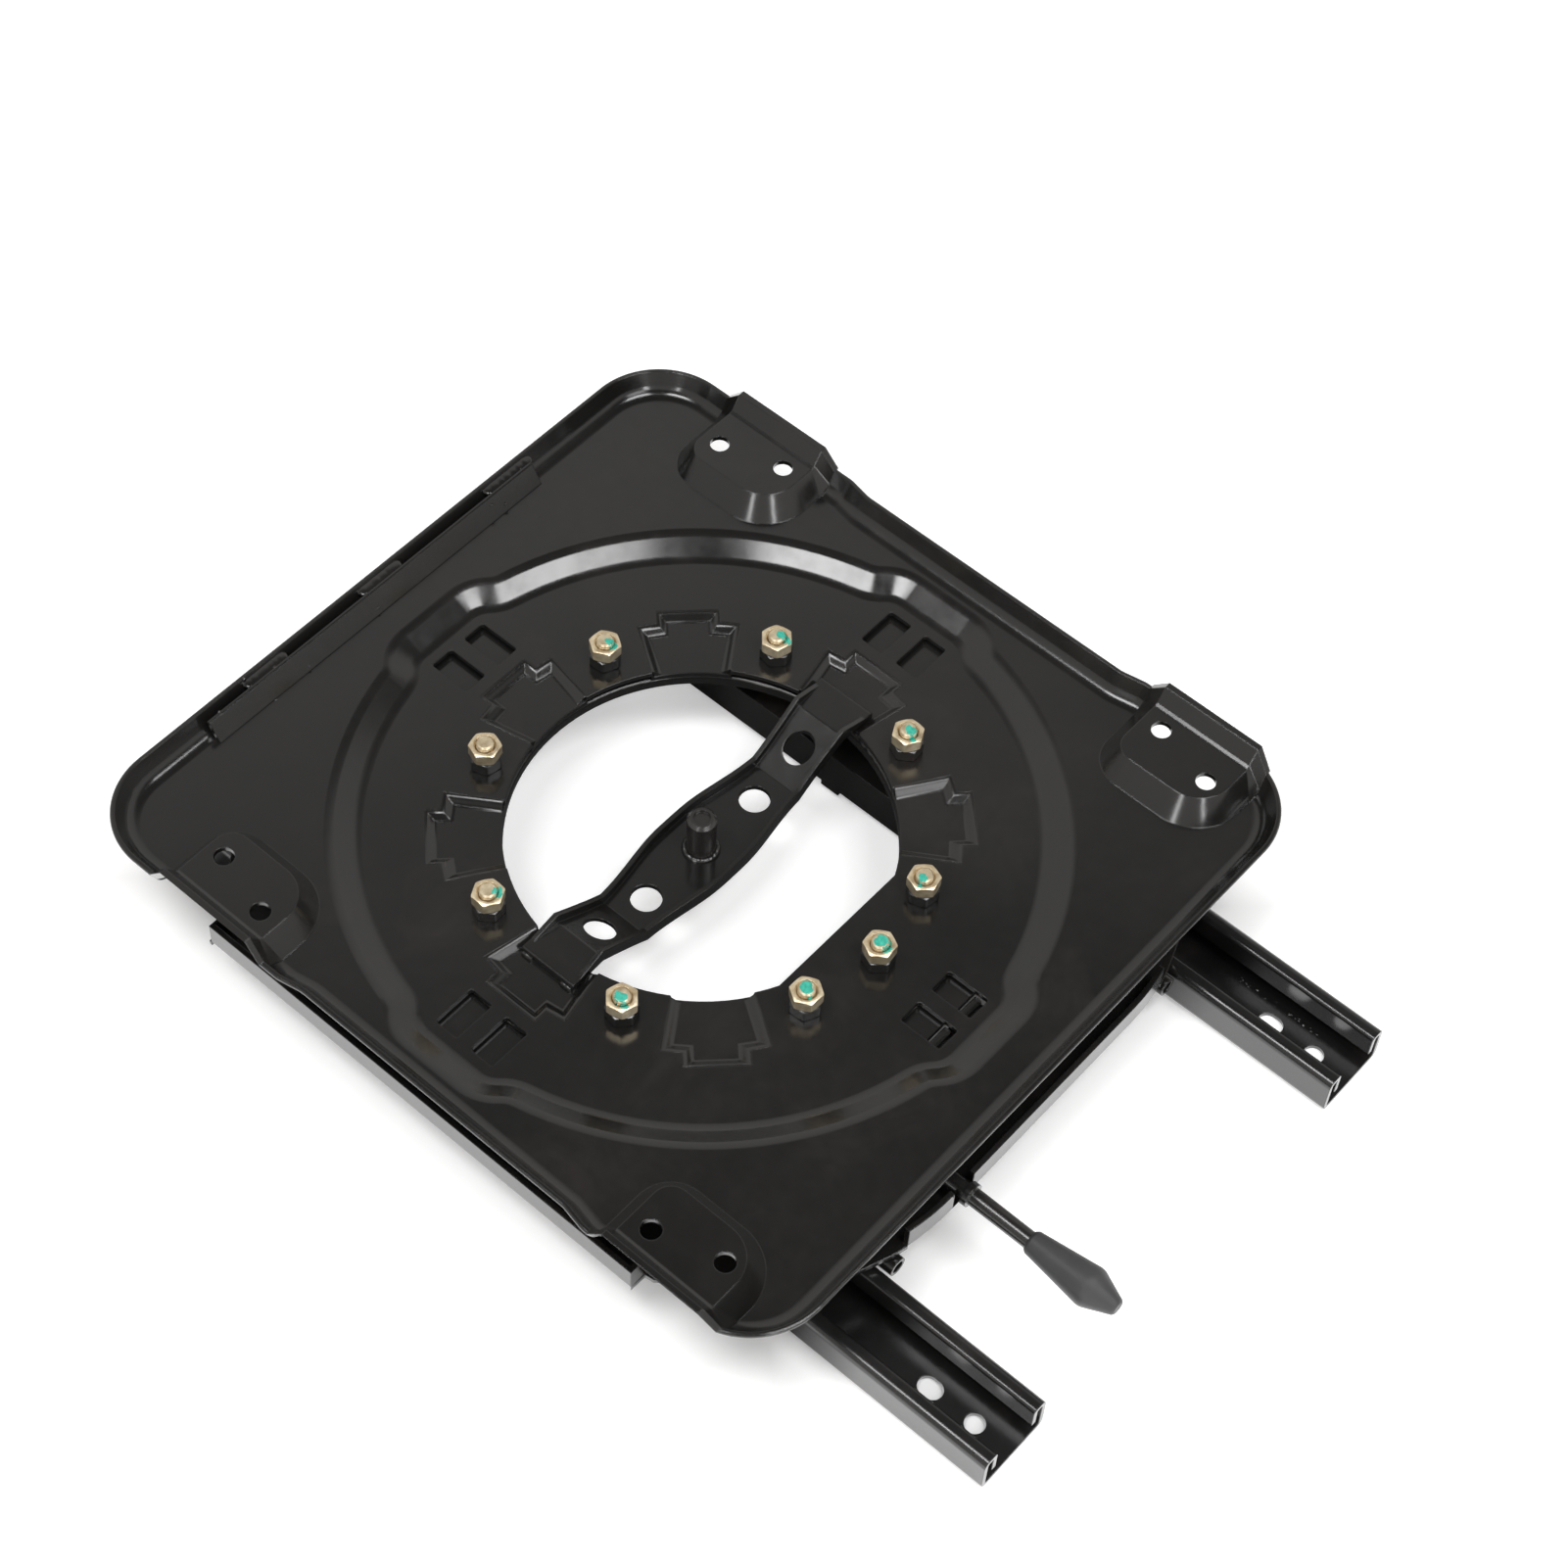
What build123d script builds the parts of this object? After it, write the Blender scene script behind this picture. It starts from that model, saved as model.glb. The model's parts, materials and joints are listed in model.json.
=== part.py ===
from build123d import *
import os
from math import sin, cos, tan, radians, sqrt

os.makedirs("parts", exist_ok=True)

# Swivel seat base with a slide.
# Origin: centre of the bolt pattern of the floor rails, on the floor they stand on.
# +X is the way the lock lever sticks out and the carriage slides, +Z is up.
# The sizes below are measured from the swivel axis, which stands at X = swivel_x;
# save() moves every part there.

# Sheet and general sizes
sheet = 2.5                 # thickness of the pressed plates
run_gap = 0.3               # clearance between moving faces
pin_play = 0.05             # radial clearance of a pin or bolt in its hole

# Floor rail
rail_length = 440.0
rail_front_x = 269.5        # front end of the rails
rail_spacing = 230.4        # distance between the rail centre lines
rail_width = 38.5
rail_height = 21.5
rail_sheet = 2.2
rail_corner_r = 3.6
rail_opening = 23.0         # slot between the two returns
rail_return = 12.0          # depth of the returns below the lip tops
rail_slot_x = 178.1         # slots, from the middle of the rail both ways
rail_hole_x = 201.1         # round holes, from the middle of the rail both ways
rail_slot_length = 11.5
rail_hole_d = 9.0
latch_window_pitch = 10.0
latch_window_w = 6.2
latch_window_z = (5.4, 13.4)

# Slide runner
runner_top = 25.0
runner_half = 9.0           # outer half width of the runner channel
runner_sheet = 2.0
runner_flange_z = 4.4       # underside of the runner's foot flanges
runner_flange_reach = 15.0
runner_overhang = 15.0      # length of the runner beyond its bolts
shoe_length = 26.0

# Lower plate
lower_front_margin = 30.0   # floor ahead of the raised land
lower_rear_margin = 18.0
lower_side_margin = 12.5
lower_flange_h = 15.0
lower_end_half = 84.0       # half length of the front and rear flanges
lower_side_x = (-123.2, 117.5)
front_straight = 60.0       # half length of the straight part of the front
front_bow_r = 111.0
land_top = 46.0             # bearing face of the raised ring
land_inner_r = 119.5
land_outer_r = 148.0
land_run = 12.0             # plan width of the slope round the land
runner_bolt_gap = 17.5      # runner bolts stand this far outside the land

# Top plate
plate_front_x = 191.5
plate_rear_x = -193.5
plate_waist_y = 179.6
plate_pad_y = 182.0
plate_corner_r = 38.0
pan_top = 56.5
rim_top = 66.8
rim_flare = 26.0            # lean of the rim from the vertical, degrees
rim_bend_r = 7.0            # inner radius of the bend from the pan into the rim
rim_tip_r = 1.1             # rounding of the rim's outer edge
recess_top = 50.0
recess_r = 147.0
recess_lobe = 152.5         # distance from the axis of the flat lobe fronts
recess_lobe_half = 27.0
centre_hole_r = 85.3
centre_chord_x = 76.7
dimple_depth = 3.0
dimple_half_angle = 11.3
dimple_outer_r = 111.0
dimple_step_r = 117.0
dimple_step_half = 13.0
window_r = 135.0
window_radial = 21.0
window_tangential = 12.0
window_offset = 10.0

# Seat pads on the top plate
pad_top = 68.0
pad_shift_x = 11.2          # the pad pattern sits ahead of the swivel axis
pad_half_spacing = 123.8
pad_half_length = 25.0
pad_inner_y = 142.0
pad_outer_y = 173.3         # crease between a pad and its own rim
pad_taper = 34.0            # lean of the pad walls from the vertical, degrees
pad_rim_top = 75.5
pad_rim_y = 181.5           # outer edge of the rim at the pads
seat_outer_x = 139.7
seat_outer_y = 155.0
seat_inner_x = 108.9
seat_inner_y = 163.8
seat_hole_d = 9.0

# Clamp bolts
bolt_circle_r = 99.0
bolt_d = 8.0
nut_af = 13.0
base_nut_h = 6.8
lock_nut_h = 6.5
bolt_head_h = 5.3
bolt_end = 65.2
bolt_angles = [22.5 + 45 * i for i in range(8)] + [0.0]

# Clamp ring and glide rings
ring_inner_r = 85.3
ring_joggle_r = 118.2
ring_outer_r = 126.0
glide_inner_r = 120.2
glide_outer_r = 124.2
glide_gap = 0.1

# Centre strap and stud
strap_end_y = 96.0
strap_top = 51.0
strap_floor = 34.4
strap_flat_y = 49.0
strap_rise_y = 77.0
strap_flange_h = 4.5
strap_hole_d = 14.0
strap_hole_y = (35.0, 64.0)
stud_d = 13.0
stud_h = 23.0

# Edge bar: a strip that leans like the rim behind it
bar_y = (-111.0, 89.0)
bar_gap = 3.4               # slot between the bar and the rim
bar_sheet = 2.5
bar_top = 66.0

# Swivel lock
lever_y = -52.5
lever_z = 35.5
lever_d = 8.0
lever_grip_x = 224.5
grip_length = 44.5
lock_plate_z = 39.1
prong_thick = 3.5
prong_top = 46.9
prong_gap = 3.0             # play between a prong and the outer end of its window
lock_open_gap = 1.5         # between the prongs and the opening they pass through
lock_open_half = 20.0
lock_pin_gap = 12.0         # the lock pin lies this far outside the land
lock_pin_z = 34.6
lock_pin_d = 6.0
lock_ear_y = (-30.0, 8.0)
lock_base = 1.8             # thickness of the pivot bracket's foot
spring_r = 3.65             # middle radius of the spring coil
spring_wire = 1.1
spring_pitch = 1.45
spring_turns = 6
spring_y = -13.0
lever_rear_gap = 8.0        # rod's rear end, behind the lock pin
lever_front_x = 252.0
grip_neck_r = 5.0
grip_belly_r = 9.2
grip_tip_r = 3.8
grip_shoulder = 31.0        # distance from the neck to the widest place

# Slide latches
tube_inset = 25.2           # tube axis, inward from the rail's centre line
tube_z = 18.5
tube_d = 9.0
tube_front_x = 188.0
latch_teeth = 5
latch_tooth_w = 5.0
latch_bracket_inset = 34.7
latch_bracket_x = (-86.0, 80.0)
latch_bracket_low = 5.0
latch_bracket_sheet = 2.0
latch_flange_x = (-70.0, 66.0)
latch_ear_low = 11.0
latch_ear_gap = 0.35        # between the bracket's ears and the rail
latch_tooth_z = 6.5         # underside of the teeth
latch_tooth_gap = 0.75      # between the released teeth and the rail
latch_window_first = -30.0
latch_window_count = 15
runner_bolt_end = 14.0

rail_rear_x = rail_front_x - rail_length
rail_mid_x = (rail_front_x + rail_rear_x) / 2
rail_y = rail_spacing / 2
rail_inner_y = rail_y - rail_width / 2
swivel_x = -rail_mid_x
tube_y = rail_y - tube_inset
latch_bracket_y = rail_y - latch_bracket_inset
latch_ear_reach = rail_inner_y - latch_ear_gap
latch_tooth_reach = rail_inner_y - latch_tooth_gap
land_base_r = land_outer_r + land_run
lower_front_x = land_base_r + lower_front_margin
lower_rear_x = -(land_base_r + lower_rear_margin)
lower_half_y = land_base_r + lower_side_margin
runner_bolt_x = sqrt((land_base_r + runner_bolt_gap) ** 2 - rail_y ** 2)
runner_length = 2 * (runner_bolt_x + runner_overhang)
lock_pin_x = land_base_r + lock_pin_gap
prong_x = window_r + window_radial / 2 - prong_gap - prong_thick
rim_wide = sheet / cos(radians(rim_flare))
rim_lean = tan(radians(rim_flare))
rim_chord = rim_bend_r * tan(radians((90 - rim_flare) / 2))
pan_low = pan_top - sheet
recess_low = recess_top - sheet
floor_low = runner_top
floor_top = floor_low + sheet
lower_flange_top = floor_low + lower_flange_h
dimple_low = recess_low - dimple_depth
dimple_top = recess_top - dimple_depth


def save(part, name):
    """Move a finished part to its place in the frame and write it."""
    placed = part.moved(Location((swivel_x, 0, 0)))
    placed.label = name
    export_step(placed, "parts/" + name + ".step")


def top_outline():
    """Plan outline of the top plate: straight waist, wider at the seat pads."""
    with BuildSketch() as outline:
        with BuildLine():
            left = pad_shift_x - pad_half_spacing + 42.0
            right = pad_shift_x + pad_half_spacing - 36.0
            upper = [
                (plate_rear_x, plate_pad_y),
                (left, plate_pad_y),
                (left + 12.0, plate_waist_y),
                (right - 12.0, plate_waist_y),
                (right, plate_pad_y),
                (plate_front_x, plate_pad_y),
            ]
            lower = [(x, -y) for x, y in reversed(upper)]
            Polyline(*upper, *lower, close=True)
        make_face()
        corners = outline.vertices().filter_by_position(Axis.X, plate_rear_x - 1, plate_rear_x + 1)
        corners += outline.vertices().filter_by_position(Axis.X, plate_front_x - 1, plate_front_x + 1)
        fillet(corners, plate_corner_r)
        bends = [v for v in outline.vertices() if left - 1 < v.X < right + 1]
        fillet(bends, 16.0)
    return outline.sketch


def arc_middle(centre, start, end, radius):
    """Middle point of the short arc between two points of a circle."""
    x = start[0] + end[0] - 2 * centre[0]
    y = start[1] + end[1] - 2 * centre[1]
    size = sqrt(x * x + y * y)
    return (centre[0] + x / size * radius, centre[1] + y / size * radius)


def turned(point, quarter):
    """A plan point turned by so many quarter turns."""
    x, y = point
    for _ in range(quarter):
        x, y = -y, x
    return (x, y)


def recess_outline(radius, lobe, lobe_half, corner, blend):
    """Plan outline of the recess: a circle with four flat-fronted lobes, all corners blended."""
    ax, ay = lobe - corner, lobe_half - corner
    reach = sqrt(ax * ax + ay * ay)
    along = ((radius + blend) ** 2 - (corner + blend) ** 2 + reach ** 2) / (2 * reach)
    across = sqrt((radius + blend) ** 2 - along ** 2)
    cx = (along * ax - across * ay) / reach
    cy = (along * ay + across * ax) / reach
    front = (lobe, ay)
    joint = (ax + (cx - ax) * corner / (corner + blend), ay + (cy - ay) * corner / (corner + blend))
    circle = (cx * radius / (radius + blend), cy * radius / (radius + blend))
    mid_corner = arc_middle((ax, ay), front, joint, corner)
    mid_blend = arc_middle((cx, cy), joint, circle, blend)
    mid_circle = (radius * cos(radians(45)), radius * sin(radians(45)))
    with BuildSketch() as shape:
        with BuildLine():
            for q in range(4):
                Line(turned((lobe, -ay), q), turned(front, q))
                ThreePointArc(turned(front, q), turned(mid_corner, q), turned(joint, q))
                ThreePointArc(turned(joint, q), turned(mid_blend, q), turned(circle, q))
                mirrored = [(p[1], p[0]) for p in (circle, mid_blend, joint, mid_corner, front)]
                ThreePointArc(turned(circle, q), turned(mid_circle, q), turned(mirrored[0], q))
                ThreePointArc(turned(mirrored[0], q), turned(mirrored[1], q), turned(mirrored[2], q))
                ThreePointArc(turned(mirrored[2], q), turned(mirrored[3], q), turned(mirrored[4], q))
        make_face()
    return shape.sketch


def hex_nut(across_flats, height, hole, bottom, turn=0.0):
    """Hexagon nut with both faces chamfered, standing on z = bottom at the origin."""
    with BuildPart() as nut:
        with BuildSketch(Plane.XY.offset(bottom)):
            RegularPolygon(across_flats / 2, 6, major_radius=False, rotation=turn)
        extrude(amount=height)
        with BuildSketch(Plane.XY.offset(bottom)):
            Circle(across_flats / 2 / cos(radians(30)))
        extrude(amount=height, mode=Mode.INTERSECT)
        with BuildSketch(Plane.XZ):
            with BuildLine():
                rim = across_flats / 2 / cos(radians(30)) + 0.01
                cut = 0.7
                Polyline(
                    (0, bottom), (rim - cut * 1.7, bottom), (rim, bottom + cut),
                    (rim, bottom + height - cut), (rim - cut * 1.7, bottom + height),
                    (0, bottom + height), close=True,
                )
            make_face()
        revolve(axis=Axis.Z, mode=Mode.INTERSECT)
        if hole:
            with BuildSketch(Plane.XY.offset(bottom)):
                Circle(hole / 2)
            extrude(amount=height, mode=Mode.SUBTRACT)
    return nut.part


outline = top_outline()
recess_floor_shape = recess_outline(recess_r, recess_lobe, recess_lobe_half, 12.0, 22.0)
pad_x = (pad_shift_x - pad_half_spacing, pad_shift_x + pad_half_spacing)


def pad_shape(z):
    """Plan shape of the four pad tops, running out past the side rims."""
    with BuildSketch(Plane.XY.offset(z)) as pads:
        for x in pad_x:
            for side in (-1, 1):
                far = plate_pad_y + 12.0
                with BuildSketch(mode=Mode.PRIVATE) as one:
                    with Locations((x, side * (pad_inner_y + far) / 2)):
                        Rectangle(2 * pad_half_length, far - pad_inner_y)
                    inner = [v for v in one.vertices() if abs(v.Y) < pad_inner_y + 1]
                    rear = [v for v in inner if v.X < x]
                    front = [v for v in inner if v.X > x]
                    fillet(rear, 9.0)
                    front = [v for v in one.vertices() if abs(v.Y) < pad_inner_y + 1 and v.X > x + 20]
                    fillet(front, 17.0)
                add(one.sketch)
    return pads.sketch


with BuildPart() as pads_outer:
    add(pad_shape(pad_top))
    extrude(amount=-(pad_top - pan_low), taper=-pad_taper)
    with BuildSketch(Plane.XY.offset(pan_low)):
        Rectangle(4 * pad_outer_y, 2 * pad_outer_y - 3.0)
    extrude(amount=pad_top - pan_low, mode=Mode.INTERSECT)

with BuildPart() as pads_hollow:
    add(pad_shape(pad_top - sheet))
    extrude(amount=-(pad_top - pan_top), taper=-pad_taper)


def bent_section(crease, tip, floor_y, low_corner, inner, outer):
    """Section of floor and rim in the YZ plane, both sides of the bend cut by a short chord."""
    def along(start, end, distance):
        dy, dz = end[0] - start[0], end[1] - start[1]
        size = sqrt(dy * dy + dz * dz)
        return (start[0] + dy / size * distance, start[1] + dz / size * distance)

    in_tip, out_tip = tip
    floor_top_point = (floor_y, crease[1])
    floor_low_point = (floor_y, low_corner[1])
    return [
        floor_low_point, floor_top_point,
        along(crease, floor_top_point, inner), along(crease, in_tip, inner),
        in_tip, out_tip,
        along(low_corner, out_tip, outer), along(low_corner, floor_low_point, outer),
    ]


def rim_section(x):
    """Section of the plain rim at one x."""
    start, end = (plate_rear_x, plate_front_x)
    over = max(0.0, x - (end - plate_corner_r), start + plate_corner_r - x)

    def edge(inset):
        r = plate_corner_r - inset
        return plate_pad_y - plate_corner_r + sqrt(r ** 2 - over ** 2)

    in_low = edge(rim_wide + (rim_top - pan_top) * rim_lean)
    out_low = edge((rim_top - pan_low) * rim_lean)
    return bent_section(
        (in_low, pan_top), ((edge(rim_wide), rim_top), (edge(0), rim_top)), in_low - rim_chord - 1.5,
        (out_low, pan_low), rim_chord, rim_chord * (rim_bend_r + sheet) / rim_bend_r,
    )


pad_rim_wide = sheet * 1.22
pad_rim_run = (pad_rim_y - pad_rim_wide - pad_outer_y) / (pad_rim_top - pad_top)
pad_low_y = pad_rim_y - (pad_rim_top - pad_top + sheet) * pad_rim_run
pad_section = bent_section(
    (pad_outer_y, pad_top), ((pad_rim_y - pad_rim_wide, pad_rim_top), (pad_rim_y, pad_rim_top)),
    pad_outer_y - 3.5, (pad_low_y, pad_top - sheet), 1.0, 2.2,
)
pad_ramp = (pad_top - pan_top) * tan(radians(pad_taper))

# rim pieces at the pads: raised with the pad, sloping down to the plain rim at both ends
with BuildPart() as pad_rims:
    for x in pad_x:
        ends = (x - pad_half_length - pad_ramp, x - pad_half_length,
                x + pad_half_length, x + pad_half_length + pad_ramp)
        for part_ends in ((ends[0], ends[1]), (ends[1], ends[2]), (ends[2], ends[3])):
            with BuildSketch(Plane.YZ.offset(part_ends[0])):
                with BuildLine():
                    points = rim_section(part_ends[0]) if part_ends[0] == ends[0] else pad_section
                    Polyline(*points, close=True)
                make_face()
            with BuildSketch(Plane.YZ.offset(part_ends[1])):
                with BuildLine():
                    points = rim_section(part_ends[1]) if part_ends[1] == ends[3] else pad_section
                    Polyline(*points, close=True)
                make_face()
            loft(ruled=True)
    mirror(about=Plane.XZ)

with BuildPart() as dimple_blocks:
    for i in range(1, 8):
        at = Plane.XY.rotated((0, 0, 45 * i)).offset(dimple_low)
        with BuildSketch(at):
            with BuildLine():
                far = dimple_outer_r + 1.2
                wide = far * sin(radians(dimple_half_angle)) + 1.2
                near = (centre_hole_r - 1) * sin(radians(dimple_half_angle)) + 1.2
                deep = far * cos(radians(dimple_half_angle))
                Polyline(
                    (centre_hole_r - 2, -near), (deep, -wide), (deep + 1.5, -dimple_step_half - 1.2),
                    (dimple_step_r + 1.2, -dimple_step_half - 1.2), (dimple_step_r + 1.2, dimple_step_half + 1.2),
                    (deep + 1.5, dimple_step_half + 1.2), (deep, wide), (centre_hole_r - 2, near), close=True,
                )
            make_face()
        extrude(amount=dimple_depth)

with BuildPart() as dimple_pockets:
    for i in range(1, 8):
        at = Plane.XY.rotated((0, 0, 45 * i)).offset(dimple_top)
        with BuildSketch(at):
            with BuildLine():
                far = dimple_outer_r
                wide = far * sin(radians(dimple_half_angle))
                near = (centre_hole_r - 3) * sin(radians(dimple_half_angle))
                deep = far * cos(radians(dimple_half_angle))
                Polyline(
                    (centre_hole_r - 3, -near), (deep, -wide), (deep + 1.5, -dimple_step_half),
                    (dimple_step_r, -dimple_step_half), (dimple_step_r, dimple_step_half),
                    (deep + 1.5, dimple_step_half), (deep, wide), (centre_hole_r - 3, near), close=True,
                )
            make_face()
        extrude(amount=dimple_depth + 0.01, taper=-20)

bowl = pan_top - recess_top
bowl_taper = 60.0
with BuildPart() as bowl_pocket:
    with BuildSketch(Plane.XY.offset(recess_top)):
        add(recess_floor_shape)
    extrude(amount=bowl, taper=-bowl_taper)
    fillet(bowl_pocket.edges().group_by(Axis.Z)[0], 8.0)

with BuildPart() as bowl_block:
    with BuildSketch(Plane.XY.offset(recess_low)):
        add(recess_floor_shape)
    extrude(amount=bowl, taper=-bowl_taper)
    fillet(bowl_block.edges().group_by(Axis.Z)[0], 9.0)

# Top plate: pan with rim, sunk recess, raised pads, dimples and windows
with BuildPart() as top_plate:
    with BuildSketch(Plane.XY.offset(rim_top)):
        add(outline)
    extrude(amount=-(rim_top - pan_low), taper=rim_flare)
    fillet(top_plate.edges().group_by(Axis.Z)[0], rim_bend_r + sheet)
    fillet(top_plate.edges().group_by(Axis.Z)[-1], rim_tip_r)
    with BuildSketch(Plane.XY.offset(rim_top)):
        add(outline)
        offset(amount=-rim_wide, kind=Kind.INTERSECTION, mode=Mode.REPLACE)
    extrude(amount=-(rim_top - pan_top), taper=rim_flare, mode=Mode.SUBTRACT)
    fillet([e for e in top_plate.edges() if abs(e.center().Z - pan_top) < 0.01], rim_bend_r)
    # bowl of the recess
    add(bowl_block.part)
    add(bowl_pocket.part, mode=Mode.SUBTRACT)
    mouth = [e for e in top_plate.edges() if e.bounding_box().size.Z < 0.01]
    mouth = [e for e in mouth if sqrt(e.center().X ** 2 + e.center().Y ** 2) < recess_lobe + 16]
    fillet([e for e in mouth if abs(e.center().Z - pan_top) < 0.01], 8.0)
    # seat pads, in notches that reach out through the rim
    with BuildSketch(Plane.XY.offset(pan_low - 1)):
        for x in pad_x:
            for side in (-1, 1):
                with Locations((x, side * (pad_outer_y + 10.0))):
                    Rectangle(2 * (pad_half_length + pad_ramp), 36.0)
    extrude(amount=rim_top - pan_low + 2, mode=Mode.SUBTRACT)
    add(pads_outer.part)
    add(pads_hollow.part, mode=Mode.SUBTRACT)
    add(pad_rims.part)
    # dimples round the centre hole
    add(dimple_blocks.part)
    add(dimple_pockets.part, mode=Mode.SUBTRACT)
    # centre hole with its straight side
    with BuildSketch(Plane.XY.offset(dimple_low - 1)):
        Circle(centre_hole_r)
        with Locations((centre_chord_x - 100, 0)):
            Rectangle(200, 200, mode=Mode.INTERSECT)
    extrude(amount=20, mode=Mode.SUBTRACT)
    # lock windows, in pairs at every quarter turn
    with BuildSketch(Plane.XY.offset(recess_low - 1)):
        with PolarLocations(0, 4):
            for side in (-1, 1):
                with Locations((window_r, side * window_offset)):
                    RectangleRounded(window_radial, window_tangential, 1.2)
    extrude(amount=sheet + 2, mode=Mode.SUBTRACT)
    # bolt holes and seat holes
    with BuildSketch(Plane.XY.offset(dimple_low - 1)):
        for angle in bolt_angles:
            with Locations((bolt_circle_r * cos(radians(angle)), bolt_circle_r * sin(radians(angle)))):
                Circle(bolt_d / 2 + pin_play)
        for side in (-1, 1):
            for end in (-1, 1):
                with Locations((pad_shift_x + end * seat_outer_x, side * seat_outer_y)):
                    Circle(seat_hole_d / 2)
                with Locations((pad_shift_x + end * seat_inner_x, side * seat_inner_y)):
                    Circle(seat_hole_d / 2)
    extrude(amount=40, mode=Mode.SUBTRACT)
save(top_plate.part, "top_plate")


# Edge bar: a strip welded behind the rear rim, leaning with it
rim_inner_x = plate_rear_x + rim_wide + (rim_top - bar_top) * rim_lean
bend_end_x = plate_rear_x + rim_wide + (rim_top - pan_top) * rim_lean + rim_chord
bar_back = rim_inner_x + bar_gap
bar_wide = bar_sheet / cos(radians(rim_flare))
bar_foot = bend_end_x + 0.1 - bar_back
with BuildPart() as edge_bar:
    with BuildSketch(Plane.XZ.offset(-bar_y[1])):
        with BuildLine():
            Polyline(
                (bar_back, bar_top), (bar_back + bar_wide, bar_top),
                (bar_back + bar_wide + bar_foot, pan_top), (bar_back + bar_foot, pan_top), close=True,
            )
        make_face()
    extrude(amount=bar_y[1] - bar_y[0])
    fillet(edge_bar.edges().filter_by(Axis.Y).group_by(Axis.Z)[-1], 1.0)
save(edge_bar.part, "edge_bar")

# Clamp ring: flat under the dimples, stepped down under the glide ring, lipped inside
ring_top = dimple_low
ring_foot = land_top - sheet - glide_gap - 1.4
with BuildPart() as clamp_ring:
    with BuildSketch(Plane.XZ):
        with BuildLine():
            step = ring_top - ring_foot
            Polyline(
                (ring_inner_r, ring_top), (ring_joggle_r - 1, ring_top), (ring_joggle_r - 1 + step, ring_foot),
                (ring_outer_r, ring_foot), (ring_outer_r, ring_foot - sheet),
                (ring_joggle_r - 2 + step, ring_foot - sheet), (ring_joggle_r - 2, ring_top - sheet),
                (ring_inner_r + sheet, ring_top - sheet), (ring_inner_r + sheet, ring_top - 5.3),
                (ring_inner_r, ring_top - 5.3), close=True,
            )
        make_face()
    revolve(axis=Axis.Z)
    lip_edge = clamp_ring.edges().group_by(Axis.Z)[-1].sort_by(SortBy.LENGTH)[0]
    fillet(lip_edge, 1.5)
    with BuildSketch(Plane.XY.offset(ring_foot - 5)):
        for angle in bolt_angles:
            with Locations((bolt_circle_r * cos(radians(angle)), bolt_circle_r * sin(radians(angle)))):
                Circle(bolt_d / 2 + pin_play)
    extrude(amount=15, mode=Mode.SUBTRACT)
save(clamp_ring.part, "clamp_ring")


def flat_ring(outer, inner, bottom, height):
    with BuildPart() as ring:
        with BuildSketch(Plane.XY.offset(bottom)):
            Circle(outer)
            Circle(inner, mode=Mode.SUBTRACT)
        extrude(amount=height)
    return ring.part


# Plastic glide rings above and below the raised land of the lower plate
glide_upper = flat_ring(glide_outer_r, glide_inner_r, land_top + glide_gap, recess_low - land_top - glide_gap)
save(glide_upper, "glide_ring_upper")
glide_lower = flat_ring(glide_outer_r, glide_inner_r, ring_foot, land_top - sheet - glide_gap - ring_foot)
save(glide_lower, "glide_ring_lower")

# Clamp bolts from below, each with a black base nut and a yellow lock nut
with BuildPart() as bolt:
    with BuildSketch(Plane.XY.offset(ring_top - sheet)):
        Circle(bolt_d / 2)
    extrude(amount=bolt_end - ring_top + sheet)
    chamfer(bolt.edges().group_by(Axis.Z)[-1], 0.8)
    add(hex_nut(nut_af, bolt_head_h, 0, ring_top - sheet - bolt_head_h))

base_nut = hex_nut(nut_af, base_nut_h, bolt_d + 0.02, recess_top)
lock_nut = hex_nut(nut_af, lock_nut_h, bolt_d + 0.02, recess_top + base_nut_h)
with BuildPart() as clamp_bolts:
    for angle in bolt_angles:
        add(bolt.part.rotate(Axis.Z, angle * 3).translate(
            (bolt_circle_r * cos(radians(angle)), bolt_circle_r * sin(radians(angle)), 0)))
save(clamp_bolts.part, "clamp_bolts")
with BuildPart() as base_nuts:
    for angle in bolt_angles:
        add(base_nut.rotate(Axis.Z, angle * 7 + 12).translate(
            (bolt_circle_r * cos(radians(angle)), bolt_circle_r * sin(radians(angle)), 0)))
save(base_nuts.part, "base_nuts")
with BuildPart() as lock_nuts:
    for angle in bolt_angles:
        add(lock_nut.rotate(Axis.Z, angle * 11 + 5).translate(
            (bolt_circle_r * cos(radians(angle)), bolt_circle_r * sin(radians(angle)), 0)))
save(lock_nuts.part, "lock_nuts")


def strap_line(y_end, lift):
    """Side line of the strap's upper face, raised by lift."""
    return [
        (-y_end, strap_top + lift), (-strap_rise_y, strap_top + lift), (-strap_flat_y, strap_floor + lift),
        (strap_flat_y, strap_floor + lift), (strap_rise_y, strap_top + lift), (y_end, strap_top + lift),
    ]


def strap_plan(inset):
    """Wavy plan outline of the strap, drawn in by inset."""
    half = [(-strap_end_y, 14.5), (-80, 14.2), (-60, 13.6), (-45, 14.0), (-28, 16.4), (-12, 18.7), (0, 19.0)]
    right = [(w - inset, y) for y, w in half] + [(w - inset, -y) for y, w in reversed(half[:-1])]
    left = [(-x, y) for x, y in reversed(right)]
    with BuildSketch() as plan:
        with BuildLine():
            Spline(*right)
            Line(right[-1], left[0])
            Spline(*left)
            Line(left[-1], right[0])
        make_face()
    return plan.sketch


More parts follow.
